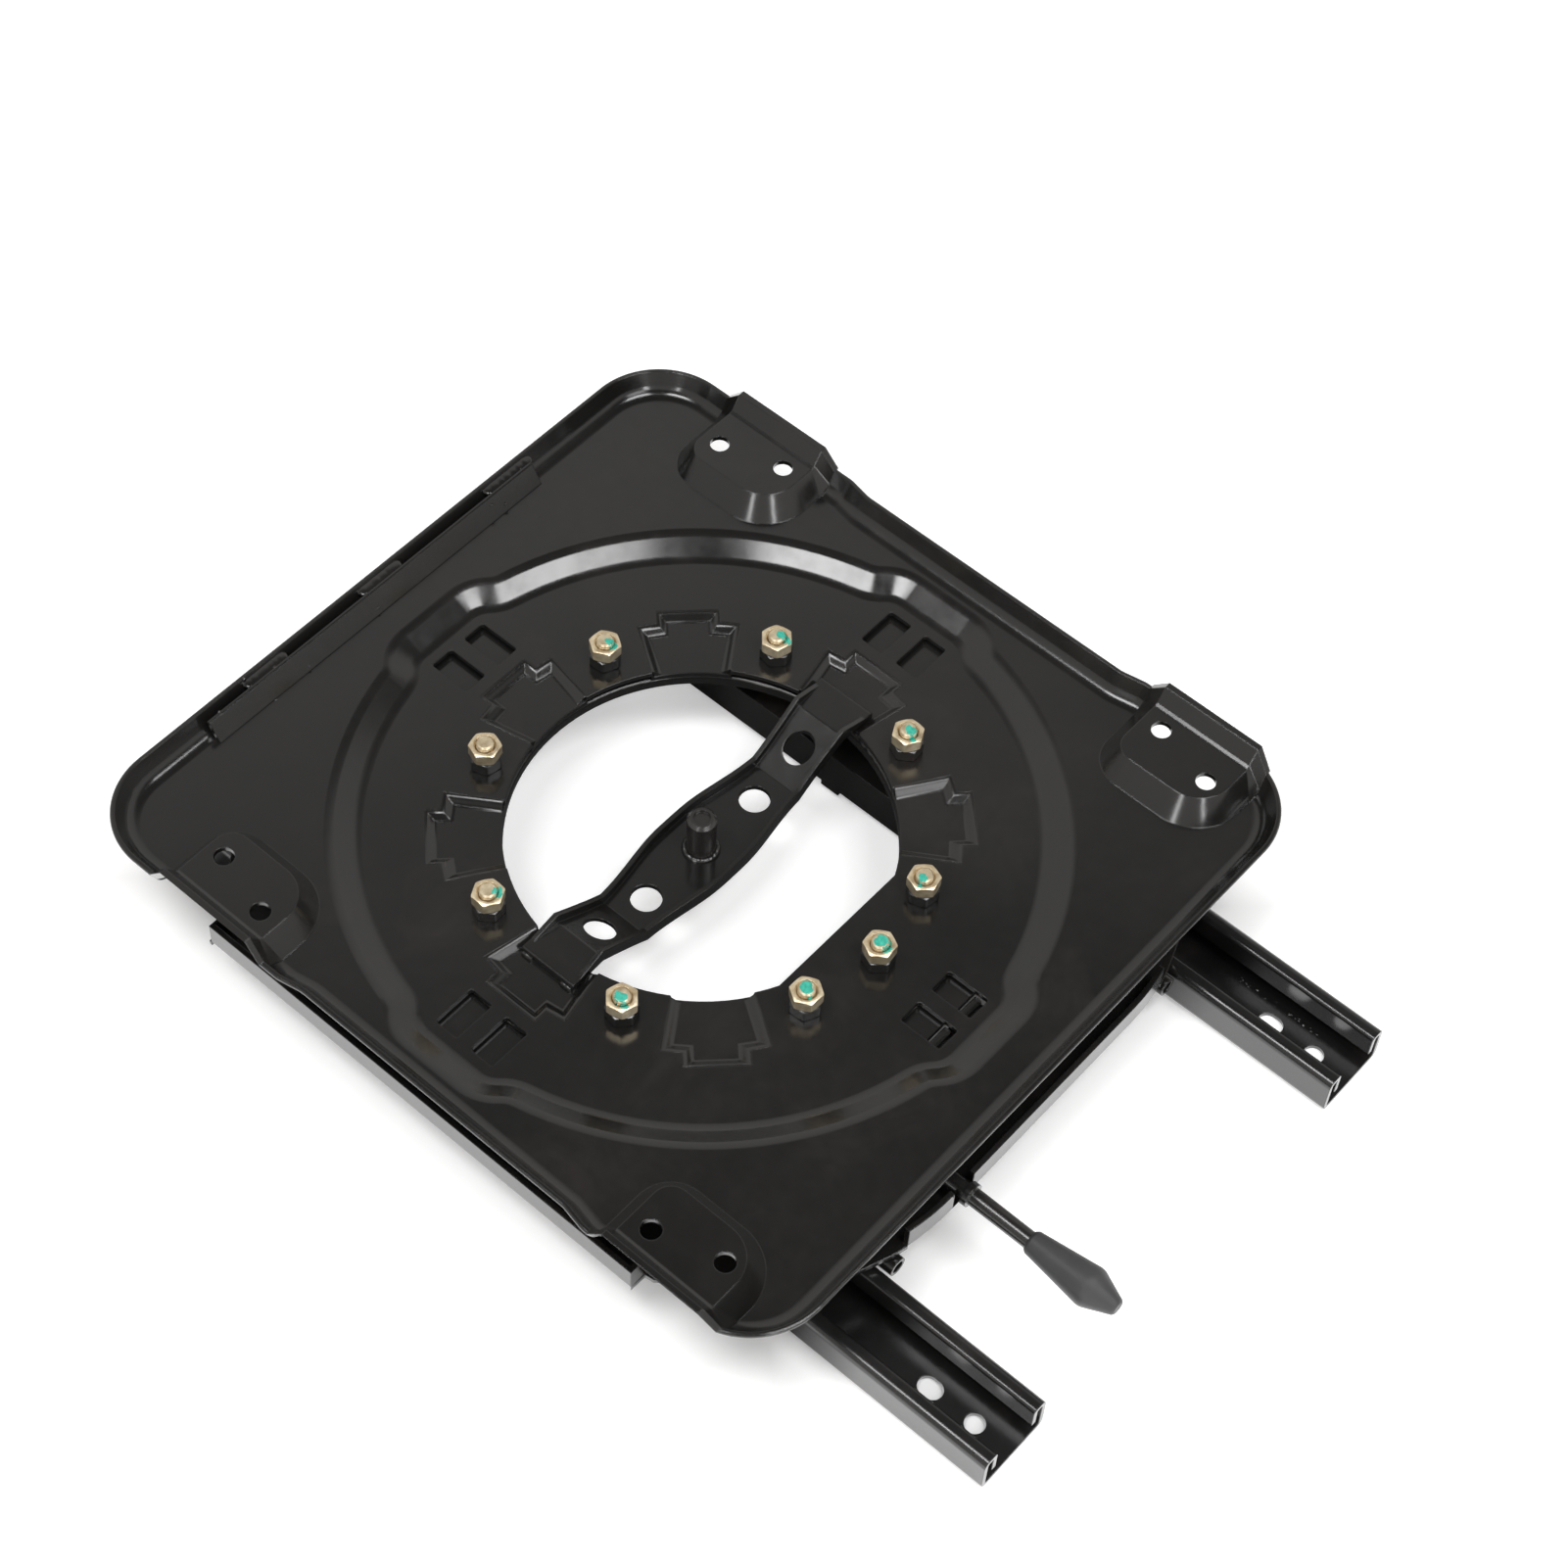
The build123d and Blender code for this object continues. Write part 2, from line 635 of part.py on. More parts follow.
# Centre strap: joggled across the centre hole, side flanges turned up, ends turned down
with BuildPart() as centre_strap:
    with BuildSketch(Plane.YZ):
        with BuildLine():
            top_line = strap_line(strap_end_y, 0)
            low_line = [(y, z - sheet) for y, z in reversed(top_line)]
            Polyline(*top_line, *low_line, close=True)
        make_face()
        for side in (-1, 1):
            with Locations((side * (strap_end_y - sheet / 2), (strap_top + dimple_top) / 2)):
                Rectangle(sheet, strap_top - dimple_top)
    extrude(amount=25, both=True)
    with BuildSketch(Plane.XY.offset(strap_floor - 10)):
        add(strap_plan(0))
    extrude(amount=60, mode=Mode.INTERSECT)
    fillet(centre_strap.edges().filter_by(Axis.X).sort_by(Axis.Z)[-4:], 1.2)

with BuildPart() as strap_flanges:
    with BuildSketch(Plane.YZ):
        with BuildLine():
            top_line = strap_line(strap_rise_y + 14, strap_flange_h)
            top_line[0] = (top_line[0][0], strap_top)
            top_line[-1] = (top_line[-1][0], strap_top)
            low_line = [(y, z - 1.0) for y, z in reversed(strap_line(strap_rise_y + 14, 0))]
            Polyline(*top_line, *low_line, close=True)
        make_face()
    extrude(amount=25, both=True)
    with BuildSketch(Plane.XY.offset(strap_floor - 10)):
        add(strap_plan(0))
        add(strap_plan(2.2), mode=Mode.SUBTRACT)
        Rectangle(60, 2 * strap_rise_y + 27.9, mode=Mode.INTERSECT)
    extrude(amount=60, mode=Mode.INTERSECT)

with BuildPart() as strap:
    add(centre_strap.part)
    add(strap_flanges.part)
    with BuildSketch(Plane.XY.offset(strap_floor - 10)):
        for y in strap_hole_y:
            with Locations((0, y), (0, -y)):
                Circle(strap_hole_d / 2)
    extrude(amount=40, mode=Mode.SUBTRACT)
save(strap.part, "centre_strap")

# Centre stud standing on the strap
with BuildPart() as centre_stud:
    with BuildSketch(Plane.XY.offset(strap_floor)):
        Circle(stud_d / 2)
    extrude(amount=stud_h)
    chamfer(centre_stud.edges().group_by(Axis.Z)[-1], 1.4)
    with BuildSketch(Plane.XY.offset(strap_floor + stud_h)):
        Circle(stud_d / 2 - 2.6)
    extrude(amount=-1.2, mode=Mode.SUBTRACT)
save(centre_stud.part, "centre_stud")


def lower_outline():
    """Plan outline of the lower plate: bowed front, corners cut away."""
    def front(y):
        beyond = max(0.0, abs(y) - front_straight)
        return (lower_front_x - front_bow_r + sqrt(front_bow_r ** 2 - beyond ** 2), y)

    end = front_straight + 32.0
    low, high = lower_side_x
    tab = lower_half_y - 8.0
    right = [(lower_front_x - 12.0, -112.0), (high + 4.5, 0.7 - tab), (high + 0.3, -tab), (high, -lower_half_y)]
    left = [(low - 1.3, -lower_half_y), (low - 1.6, -tab), (low - 5.8, 0.7 - tab), (lower_rear_x + 10.0, -112.0)]
    rear = [(lower_rear_x, -92.0), (lower_rear_x, 92.0)]
    with BuildSketch() as shape:
        with BuildLine():
            ThreePointArc(front(-front_straight), front(-front_straight - 16.0), front(-end))
            Polyline(front(-end), *right, *left, *rear,
                     *[(x, -y) for x, y in reversed(left)], *[(x, -y) for x, y in reversed(right)], front(end))
            ThreePointArc(front(end), front(front_straight + 16.0), front(front_straight))
            Line(front(front_straight), front(-front_straight))
        make_face()
    return shape.sketch


lower_shape = lower_outline()
strip = 12.0                # how far each flange piece reaches into the floor


def lower_flange(centre_x, centre_y, length_x, length_y, bend_at):
    """One edge of the lower plate: a strip of floor bent up into a flange."""
    with BuildPart() as flange:
        with BuildSketch(Plane.XY.offset(floor_low)):
            add(lower_shape)
            with Locations((centre_x, centre_y)):
                Rectangle(length_x, length_y, mode=Mode.INTERSECT)
        extrude(amount=lower_flange_top - floor_low)
        low = flange.edges().group_by(Axis.Z)[0]
        fillet([e for e in low if bend_at(e.center())], 3.5)
        with BuildSketch(Plane.XY.offset(floor_top)):
            add(lower_shape)
            offset(amount=-sheet, kind=Kind.INTERSECTION, mode=Mode.REPLACE)
            with Locations((centre_x, centre_y)):
                Rectangle(length_x + 1, length_y + 1, mode=Mode.INTERSECT)
        extrude(amount=lower_flange_top - floor_top, mode=Mode.SUBTRACT)
    return flange.part


# Lower plate: floor with flanges on four sides and a raised ring land
side_mid = (lower_side_x[0] + lower_side_x[1]) / 2
side_long = lower_side_x[1] - lower_side_x[0]
with BuildPart() as lower_plate:
    with BuildSketch(Plane.XY.offset(floor_low)):
        add(lower_shape)
        with Locations((lower_front_x, 0), (lower_rear_x, 0)):
            Rectangle(strip, 2 * lower_end_half, mode=Mode.SUBTRACT)
        with Locations((side_mid, lower_half_y), (side_mid, -lower_half_y)):
            Rectangle(side_long, strip, mode=Mode.SUBTRACT)
        Circle(land_base_r - 0.5, mode=Mode.SUBTRACT)
    extrude(amount=sheet)
    add(lower_flange(lower_front_x, 0, 2 * strip, 2 * lower_end_half, lambda c: c.X > lower_front_x - 3))
    add(lower_flange(lower_rear_x, 0, 2 * strip, 2 * lower_end_half, lambda c: c.X < lower_rear_x + 1))
    add(lower_flange(side_mid, lower_half_y, side_long, 2 * strip, lambda c: c.Y > lower_half_y - 1))
    add(lower_flange(side_mid, -lower_half_y, side_long, 2 * strip, lambda c: c.Y < 1 - lower_half_y))
    with BuildSketch(Plane.XY.offset(floor_low - 1)):
        Circle(land_base_r - 0.5)
    extrude(amount=sheet + 2, mode=Mode.SUBTRACT)
    # raised land
    with BuildSketch(Plane.XZ) as land:
        with BuildLine():
            slope_top = (land_outer_r, land_top)
            slope_low = (land_outer_r - 1.4, land_top - sheet)
            foot_top = (land_base_r, floor_top)
            foot_low = (land_base_r - 1.4, floor_low)
            Polyline(
                (land_inner_r, land_top), slope_top, foot_top, (land_base_r + 3, floor_top),
                (land_base_r + 3, floor_low), foot_low, slope_low, (land_inner_r, land_top - sheet), close=True,
            )
        make_face()
        for point, bend in ((slope_top, 4.0), (slope_low, 2.0), (foot_top, 2.0), (foot_low, 4.0)):
            near = [v for v in land.vertices() if abs(v.X - point[0]) + abs(v.Z - point[1]) < 0.05]
            fillet(near, bend)
    revolve(axis=Axis.Z)
    # opening for the swivel lock, notch for the lever
    with BuildSketch(Plane.XY.offset(floor_low - 1)):
        open_from = prong_x - lock_open_gap
        open_to = land_base_r + 6.0
        with Locations(((open_from + open_to) / 2, 0)):
            Rectangle(open_to - open_from, 2 * lock_open_half)
    extrude(amount=30, mode=Mode.SUBTRACT)
    with BuildSketch(Plane.YZ.offset(lower_front_x - 8)):
        with Locations((lever_y, lower_flange_top)):
            Rectangle(12.6, 2 * (lower_flange_top - floor_top - 0.4))
    extrude(amount=20, mode=Mode.SUBTRACT)
    # holes for the runner bolts
    with BuildSketch(Plane.XY.offset(floor_low - 1)):
        for side in (-1, 1):
            with Locations((runner_bolt_x, side * rail_y), (-runner_bolt_x, side * rail_y)):
                Circle(bolt_d / 2 + pin_play)
    extrude(amount=5, mode=Mode.SUBTRACT)
save(lower_plate.part, "lower_plate")

# Swivel lock plate: two prongs turned up, an arm out to the lever, two pivot ears
ear = sheet
with BuildPart() as lock_plate:
    with BuildSketch(Plane.XY.offset(lock_plate_z)):
        with BuildLine():
            Polyline(
                (prong_x, 3 - lock_open_half), (prong_x, lock_open_half - 3),
                (lock_pin_x + 8, lock_open_half - 3), (lock_pin_x + 8, lever_y - 8),
                (lock_pin_x - 8, lever_y - 8), (lock_pin_x - 8, 3 - lock_open_half), close=True,
            )
        make_face()
    extrude(amount=sheet)
    fillet(lock_plate.edges().filter_by(Axis.Z), 2.5)
    with BuildSketch(Plane.YZ.offset(prong_x)):
        for side in (-1, 1):
            with Locations((side * window_offset, (lock_plate_z + prong_top) / 2)):
                Rectangle(11.0, prong_top - lock_plate_z)
    extrude(amount=prong_thick)
    chamfer(lock_plate.edges().group_by(Axis.Z)[-1].filter_by(Axis.Y), 0.8)
    for y in lock_ear_y:
        with BuildSketch(Plane.XZ.offset(-y - ear / 2)):
            with Locations((lock_pin_x, (lock_plate_z + lock_pin_z) / 2)):
                Rectangle(8.4, lock_plate_z - lock_pin_z + 0.01)
            with Locations((lock_pin_x, lock_pin_z)):
                Circle(4.2)
                Circle(lock_pin_d / 2 + pin_play, mode=Mode.SUBTRACT)
        extrude(amount=ear)
save(lock_plate.part, "lock_plate")

# Pivot bracket of the lock, standing on the lower plate, and its pin
with BuildPart() as lock_bracket:
    near = lock_ear_y[0] - ear / 2 - 0.5
    far = lock_ear_y[1] + ear / 2 + 0.5
    with BuildSketch(Plane.XY.offset(floor_top)):
        with Locations((lock_pin_x, (near + far) / 2)):
            Rectangle(14.0, far - near + 4.0)
    extrude(amount=lock_base)
    for y in (near - 1.0, far + 1.0):
        with BuildSketch(Plane.XZ.offset(-y - 1.0)):
            with Locations((lock_pin_x, (floor_top + lock_pin_z) / 2)):
                Rectangle(8.0, lock_pin_z - floor_top)
            with Locations((lock_pin_x, lock_pin_z)):
                Circle(4.0)
                Circle(lock_pin_d / 2 + 0.03, mode=Mode.SUBTRACT)
        extrude(amount=2.0)
save(lock_bracket.part, "lock_bracket")

with BuildPart() as lock_pin:
    with BuildSketch(Plane.XZ.offset(-(far + 3.5))):
        with Locations((lock_pin_x, lock_pin_z)):
            Circle(lock_pin_d / 2)
    extrude(amount=far - near + 7.0)
    with BuildSketch(Plane.XZ.offset(-(far + 3.5))):
        with Locations((lock_pin_x, lock_pin_z)):
            Circle(4.0)
    extrude(amount=1.4)
    chamfer(lock_pin.edges().group_by(Axis.Y)[0], 0.6)
save(lock_pin.part, "lock_pin")

# Torsion spring wound round the lock pin, one leg down on the bracket and one up
with BuildPart() as spring_coil:
    with BuildLine():
        coil = Helix(pitch=spring_pitch, height=spring_turns * spring_pitch, radius=spring_r)
    with BuildSketch(Plane(origin=coil @ 0, z_dir=coil % 0)):
        Circle(spring_wire / 2)
    sweep(path=coil)

with BuildPart() as lock_spring:
    add(spring_coil.part.rotate(Axis.X, 90).translate((lock_pin_x, spring_y, lock_pin_z)))
    with BuildSketch(Plane.XY.offset(lock_pin_z)):
        with Locations((lock_pin_x + spring_r, spring_y)):
            Circle(spring_wire / 2)
    extrude(amount=-(lock_pin_z - floor_top - lock_base))
    with BuildSketch(Plane.XY.offset(lock_pin_z)):
        with Locations((lock_pin_x + spring_r, spring_y - spring_turns * spring_pitch)):
            Circle(spring_wire / 2)
    extrude(amount=3.6)
save(lock_spring.part, "lock_spring")

# Lock lever: round rod welded under the lock plate, with a stop collar
lever_rear_x = lock_pin_x - lever_rear_gap
with BuildPart() as lock_lever:
    with BuildSketch(Plane.YZ.offset(lever_rear_x)):
        with Locations((lever_y, lever_z)):
            Circle(lever_d / 2)
    extrude(amount=lever_front_x - lever_rear_x)
    with BuildSketch(Plane.XY.offset(lock_plate_z)):
        with Locations((lever_rear_x + 8.5, lever_y)):
            Rectangle(17.0, lever_d + 1)
    extrude(amount=2, mode=Mode.SUBTRACT)
    with BuildSketch(Plane.YZ.offset(lower_front_x + 1.8)):
        with Locations((lever_y, lever_z)):
            Circle(lever_d / 2 + 1.5)
    extrude(amount=3.0)
    chamfer(lock_lever.edges().group_by(Axis.X)[-1], 0.6)
save(lock_lever.part, "lock_lever")

# Hand grip pushed over the lever end: a long cone to the shoulder, a short one to the tip
grip_end = lever_grip_x + grip_length
with BuildPart() as lever_grip:
    with BuildSketch(Plane.XZ.offset(-lever_y)):
        with BuildLine():
            low = lever_z
            FilletPolyline(
                (lever_grip_x, low + grip_neck_r - 0.5), (lever_grip_x + 1.2, low + grip_neck_r + 0.4),
                (lever_grip_x + grip_shoulder, low + grip_belly_r),
                (grip_end - 0.7, low + grip_tip_r), (grip_end, low + grip_tip_r - 0.8),
                radius=[0.8, 7.0, 0.5],
            )
            Polyline(
                (grip_end, low + grip_tip_r - 0.8), (grip_end, low),
                (lever_grip_x, low), (lever_grip_x, low + grip_neck_r - 0.5),
            )
        make_face()
    revolve(axis=Axis((0, lever_y, lever_z), (1, 0, 0)))
    with BuildSketch(Plane.YZ.offset(lever_grip_x)):
        with Locations((lever_y, lever_z)):
            Circle(lever_d / 2 + 0.02)
    extrude(amount=lever_front_x - lever_grip_x, mode=Mode.SUBTRACT)
save(lever_grip.part, "lever_grip")


def floor_rail(side):
    """C-channel rail with returned lips, on the given side of the centre line."""
    y = side * rail_y
    with BuildPart() as rail:
        with BuildSketch(Plane.YZ.offset(rail_rear_x)):
            with Locations((y, rail_height / 2)):
                RectangleRounded(rail_width, rail_height, rail_corner_r)
                RectangleRounded(
                    rail_width - 2 * rail_sheet, rail_height - 2 * rail_sheet,
                    rail_corner_r - rail_sheet, mode=Mode.SUBTRACT,
                )
            with Locations((y, rail_height)):
                Rectangle(rail_opening, 2 * rail_sheet + 2, mode=Mode.SUBTRACT)
            for lip in (-1, 1):
                with Locations((y + lip * (rail_opening + rail_sheet) / 2, rail_height - rail_return / 2)):
                    Rectangle(rail_sheet, rail_return)
        extrude(amount=rail_length)
        bends = rail.edges().filter_by(Axis.X).group_by(Axis.Z)[-1]
        fillet([e for e in bends if abs(abs(e.center().Y - y) - rail_opening / 2) < 0.05], rail_sheet - 0.3)
        # mounting holes in the floor of the rail
        with BuildSketch(Plane.XY.offset(-1)):
            with Locations((rail_mid_x + rail_slot_x, y), (rail_mid_x - rail_slot_x, y)):
                SlotOverall(rail_slot_length, rail_hole_d)
            with Locations((rail_mid_x + rail_hole_x, y), (rail_mid_x - rail_hole_x, y)):
                Circle(rail_hole_d / 2)
        extrude(amount=rail_sheet + 2, mode=Mode.SUBTRACT)
        # row of latch windows in the inner wall
        with BuildSketch(Plane.XY.offset(latch_window_z[0])):
            wall = side * (rail_y - rail_width / 2 + rail_sheet / 2)
            with Locations((latch_window_first, wall)):
                with GridLocations(latch_window_pitch, 1, latch_window_count, 1, align=(Align.MIN, Align.CENTER)):
                    Rectangle(latch_window_w, rail_sheet + 1)
        extrude(amount=latch_window_z[1] - latch_window_z[0], mode=Mode.SUBTRACT)
    return rail.part


def slide_runner(side):
    """Top-hat channel hanging in the rail, its foot flanges under the returned lips."""
    y = side * rail_y
    inner = runner_half - runner_sheet
    half = [
        (inner, runner_top - runner_sheet), (inner, runner_flange_z), (runner_flange_reach, runner_flange_z),
        (runner_flange_reach, runner_flange_z + runner_sheet), (runner_half, runner_flange_z + runner_sheet),
        (runner_half, runner_top),
    ]
    with BuildPart() as runner:
        with BuildSketch(Plane.YZ.offset(-runner_length / 2)) as section:
            with BuildLine():
                Polyline(*[(y + u, z) for u, z in half], *[(y - u, z) for u, z in reversed(half)], close=True)
            make_face()
            fillet([v for v in section.vertices() if abs(v.Z - runner_top) < 0.05], 3.0)
            fillet([v for v in section.vertices() if abs(v.Z - runner_top + runner_sheet) < 0.05], 1.0)
        extrude(amount=runner_length)
        with BuildSketch(Plane.XY.offset(runner_top - runner_sheet - 1)):
            with Locations((runner_bolt_x, y), (-runner_bolt_x, y)):
                Circle(bolt_d / 2 + pin_play)
        extrude(amount=runner_sheet + 2, mode=Mode.SUBTRACT)
    return runner.part


def latch_bracket(side):
    """Angle bracket on the runner, two ears carry the latch tube."""
    plate_y = side * latch_bracket_y
    plate_t = latch_bracket_sheet
    outer = latch_bracket_y - plate_t / 2
    with BuildPart() as bracket:
        with BuildSketch(Plane.XZ.offset(-plate_y)):
            with BuildLine():
                x0, x1 = latch_bracket_x
                f0, f1 = latch_flange_x
                Polyline(
                    (x0, latch_bracket_low), (2, latch_bracket_low), (2, latch_bracket_low - 3),
                    (12, latch_bracket_low - 3), (12, latch_bracket_low), (x1, latch_bracket_low),
                    (x1, runner_top), (f1, runner_top), (f1, runner_top + plate_t),
                    (f0, runner_top + plate_t), (f0, runner_top), (x0, runner_top), close=True,
                )
            make_face()
        extrude(amount=plate_t / 2, both=True)
        with BuildSketch(Plane.XY.offset(runner_top)):
            reach = rail_y + runner_half - 2.2
            with Locations(((f0 + f1) / 2, side * (outer + reach) / 2)):
                Rectangle(f1 - f0, reach - outer)
        extrude(amount=plate_t)
        for x in (x0 + plate_t / 2, x1 - plate_t / 2):
            with BuildSketch(Plane.YZ.offset(x)):
                with Locations((side * (outer + latch_ear_reach) / 2, (latch_ear_low + runner_top) / 2)):
                    Rectangle(latch_ear_reach - outer, runner_top - latch_ear_low)
                with Locations((side * tube_y, tube_z)):
                    Circle(tube_d / 2 + pin_play, mode=Mode.SUBTRACT)
            extrude(amount=plate_t / 2, both=True)
            with BuildSketch(Plane.YZ.offset(x)):
                with Locations((side * tube_y, tube_z)):
                    Circle(tube_d / 2 + pin_play)
            extrude(amount=plate_t, both=True, mode=Mode.SUBTRACT)
    return bracket.part


def latch(side):
    """Pivoting tube with a toothed plate that swings into the rail windows."""
    with BuildPart() as latch_part:
        with BuildSketch(Plane.YZ.offset(latch_bracket_x[0] - 4)):
            with Locations((side * tube_y, tube_z)):
                Circle(tube_d / 2)
                Circle(tube_d / 2 - 1.5, mode=Mode.SUBTRACT)
        extrude(amount=tube_front_x - latch_bracket_x[0] + 4)
        leg = tube_y + 0.1 + latch_bracket_sheet / 2
        plate_half = (latch_teeth - 1) / 2 * latch_window_pitch + latch_tooth_w / 2 + 1.5
        with BuildSketch(Plane.XY.offset(latch_tooth_z)):
            with Locations((0, side * leg)):
                Rectangle(2 * plate_half, latch_bracket_sheet)
        extrude(amount=tube_z - 3.4 - latch_tooth_z)
        with BuildSketch(Plane.XY.offset(latch_tooth_z)):
            with GridLocations(latch_window_pitch, 1, latch_teeth, 1):
                with Locations((0, side * (tube_y + latch_tooth_reach) / 2 + side * 1.05)):
                    Rectangle(latch_tooth_w, latch_tooth_reach - tube_y - 2.1)
        extrude(amount=latch_bracket_sheet)
    return latch_part.part


for side, word in ((1, "left"), (-1, "right")):
    save(floor_rail(side), "floor_rail_" + word)
    save(slide_runner(side), "slide_runner_" + word)
    save(latch_bracket(side), "latch_bracket_" + word)
    save(latch(side), "latch_" + word)

# Plastic shoes clipped over the foot flanges at both ends of the runners
shoe_reach = rail_width / 2 - rail_sheet - run_gap
shoe_low = rail_sheet + run_gap
shoe_high = rail_height - rail_return - run_gap
with BuildPart() as slide_shoes:
    for side in (-1, 1):
        for lip in (-1, 1):
            y = side * rail_y + lip * (shoe_reach + runner_flange_reach - 3.0) / 2
            for end in (-1, 1):
                with BuildSketch(Plane.YZ.offset(end * (runner_length / 2 - shoe_length / 2 - 2.0))) as block:
                    with Locations((y, (shoe_low + shoe_high) / 2)):
                        RectangleRounded(shoe_reach - runner_flange_reach + 3.0, shoe_high - shoe_low, 1.3)
                    with Locations((side * rail_y, runner_flange_z + runner_sheet / 2)):
                        Rectangle(2 * runner_flange_reach, runner_sheet, mode=Mode.SUBTRACT)
                extrude(amount=shoe_length / 2, both=True)
save(slide_shoes.part, "slide_shoes")

# Bolts joining the lower plate to the runners
with BuildPart() as runner_bolt:
    with BuildSketch(Plane.XY.offset(runner_bolt_end)):
        Circle(bolt_d / 2)
    extrude(amount=floor_top - runner_bolt_end)
    chamfer(runner_bolt.edges().group_by(Axis.Z)[0], 0.8)
    add(hex_nut(nut_af, bolt_head_h, 0, floor_top))

runner_nut = hex_nut(nut_af, lock_nut_h, bolt_d + 0.02, runner_top - runner_sheet - lock_nut_h)
with BuildPart() as runner_bolts:
    with GridLocations(2 * runner_bolt_x, rail_spacing, 2, 2):
        add(runner_bolt.part)
save(runner_bolts.part, "runner_bolts")
with BuildPart() as runner_nuts:
    with GridLocations(2 * runner_bolt_x, rail_spacing, 2, 2):
        add(runner_nut)
save(runner_nuts.part, "runner_nuts")
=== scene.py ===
import bpy
import bmesh
import json
import random
from math import sin, cos, tan, radians, pi, sqrt
from mathutils import Vector, Matrix
from mathutils.bvhtree import BVHTree


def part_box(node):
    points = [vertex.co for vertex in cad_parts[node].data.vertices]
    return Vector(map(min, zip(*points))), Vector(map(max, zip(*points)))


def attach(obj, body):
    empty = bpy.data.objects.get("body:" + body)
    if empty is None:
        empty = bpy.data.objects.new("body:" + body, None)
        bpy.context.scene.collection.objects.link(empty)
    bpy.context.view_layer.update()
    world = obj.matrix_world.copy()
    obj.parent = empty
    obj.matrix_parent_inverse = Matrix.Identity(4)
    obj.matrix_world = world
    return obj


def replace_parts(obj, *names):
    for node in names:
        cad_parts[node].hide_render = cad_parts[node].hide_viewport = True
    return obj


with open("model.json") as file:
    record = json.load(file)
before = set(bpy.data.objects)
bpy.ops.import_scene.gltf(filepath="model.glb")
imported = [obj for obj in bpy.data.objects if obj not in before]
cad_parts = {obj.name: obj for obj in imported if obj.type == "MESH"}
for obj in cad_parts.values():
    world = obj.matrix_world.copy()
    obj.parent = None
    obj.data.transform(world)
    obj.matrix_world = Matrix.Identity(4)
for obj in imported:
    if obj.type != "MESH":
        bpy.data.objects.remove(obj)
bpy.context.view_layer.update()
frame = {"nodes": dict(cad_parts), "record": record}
nodes = frame["nodes"]
scene = bpy.context.scene
millimetre = 0.001
straight_up = Vector((0, 0, 1))
straight_down = Vector((0, 0, -1))


def node_low(node):
    """The lowest x, y and z that a CAD node reaches."""
    return Vector(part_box(node)[0])


def node_high(node):
    """The highest x, y and z that a CAD node reaches."""
    return Vector(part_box(node)[1])


# The swivel axis stands in the middle of the ring of clamp nuts
joints = frame["record"]["behaviour"]["joints"]
swivel_x = next(joint["pos_m"][0] for joint in joints if joint["name"] == "swivel")


def at(x, y, z):
    """A point given in millimetres from the swivel axis, in metres in the row frame."""
    return Vector((swivel_x + x * millimetre, y * millimetre, z * millimetre))


def on_circle(radius, angle, z):
    """A point on a circle round the swivel axis, in metres and radians."""
    return Vector((swivel_x + radius * cos(angle), radius * sin(angle), z))


def standing(right, up, back, place):
    """Matrix that puts an object at place with its own axes along right, up and back."""
    return Matrix([*zip(right, up, back, place), (0, 0, 0, 1)])


# Materials

def material(name):
    """A node material with one principled shader and nothing else."""
    made = bpy.data.materials.new(name)
    made.use_nodes = True
    tree = made.node_tree
    tree.nodes.clear()
    out = tree.nodes.new("ShaderNodeOutputMaterial")
    shader = tree.nodes.new("ShaderNodeBsdfPrincipled")
    tree.links.new(shader.outputs[0], out.inputs[0])
    return made, tree, shader


def coords(tree):
    """Coordinates that are fixed to the piece, in metres."""
    return tree.nodes.new("ShaderNodeTexCoord").outputs["Object"]


def noise(tree, vector, scale, detail=3.0, rough=0.5, distort=0.0):
    """Cloudy pattern, most of it between 0.3 and 0.7."""
    made = tree.nodes.new("ShaderNodeTexNoise")
    made.inputs["Scale"].default_value = scale
    made.inputs["Detail"].default_value = detail
    made.inputs["Roughness"].default_value = rough
    made.inputs["Distortion"].default_value = distort
    tree.links.new(vector, made.inputs["Vector"])
    return made.outputs["Fac"]


def ramp(tree, value, stops):
    """Colour ramp through stops of (position, colour)."""
    made = tree.nodes.new("ShaderNodeValToRGB")
    while len(made.color_ramp.elements) < len(stops):
        made.color_ramp.elements.new(0.5)
    for element, (position, colour) in zip(made.color_ramp.elements, stops):
        element.position = position
        element.color = (*colour, 1)
    tree.links.new(value, made.inputs[0])
    return made.outputs[0]


def spread(tree, value, low, high, from_low=0.3, from_high=0.7):
    """Map value from from_low..from_high to low..high, and hold it there outside."""
    made = tree.nodes.new("ShaderNodeMapRange")
    made.inputs["From Min"].default_value = from_low
    made.inputs["From Max"].default_value = from_high
    made.inputs["To Min"].default_value = low
    made.inputs["To Max"].default_value = high
    tree.links.new(value, made.inputs["Value"])
    return made.outputs[0]


def arithmetic(tree, kind, first, second=0.0):
    """Result of a math node of this kind; each value is a float or a socket."""
    made = tree.nodes.new("ShaderNodeMath")
    made.operation = kind
    for socket, value in zip(made.inputs, (first, second)):
        if isinstance(value, float):
            socket.default_value = value
        else:
            tree.links.new(value, socket)
    return made.outputs[0]


def mix_colour(tree, factor, first, second):
    """Blend from first to second; each is a colour or a socket."""
    made = tree.nodes.new("ShaderNodeMix")
    made.data_type = "RGBA"
    tree.links.new(factor, made.inputs["Factor"])
    for socket, value in ((made.inputs["A"], first), (made.inputs["B"], second)):
        if isinstance(value, tuple):
            socket.default_value = (*value, 1)
        else:
            tree.links.new(value, socket)
    return made.outputs["Result"]


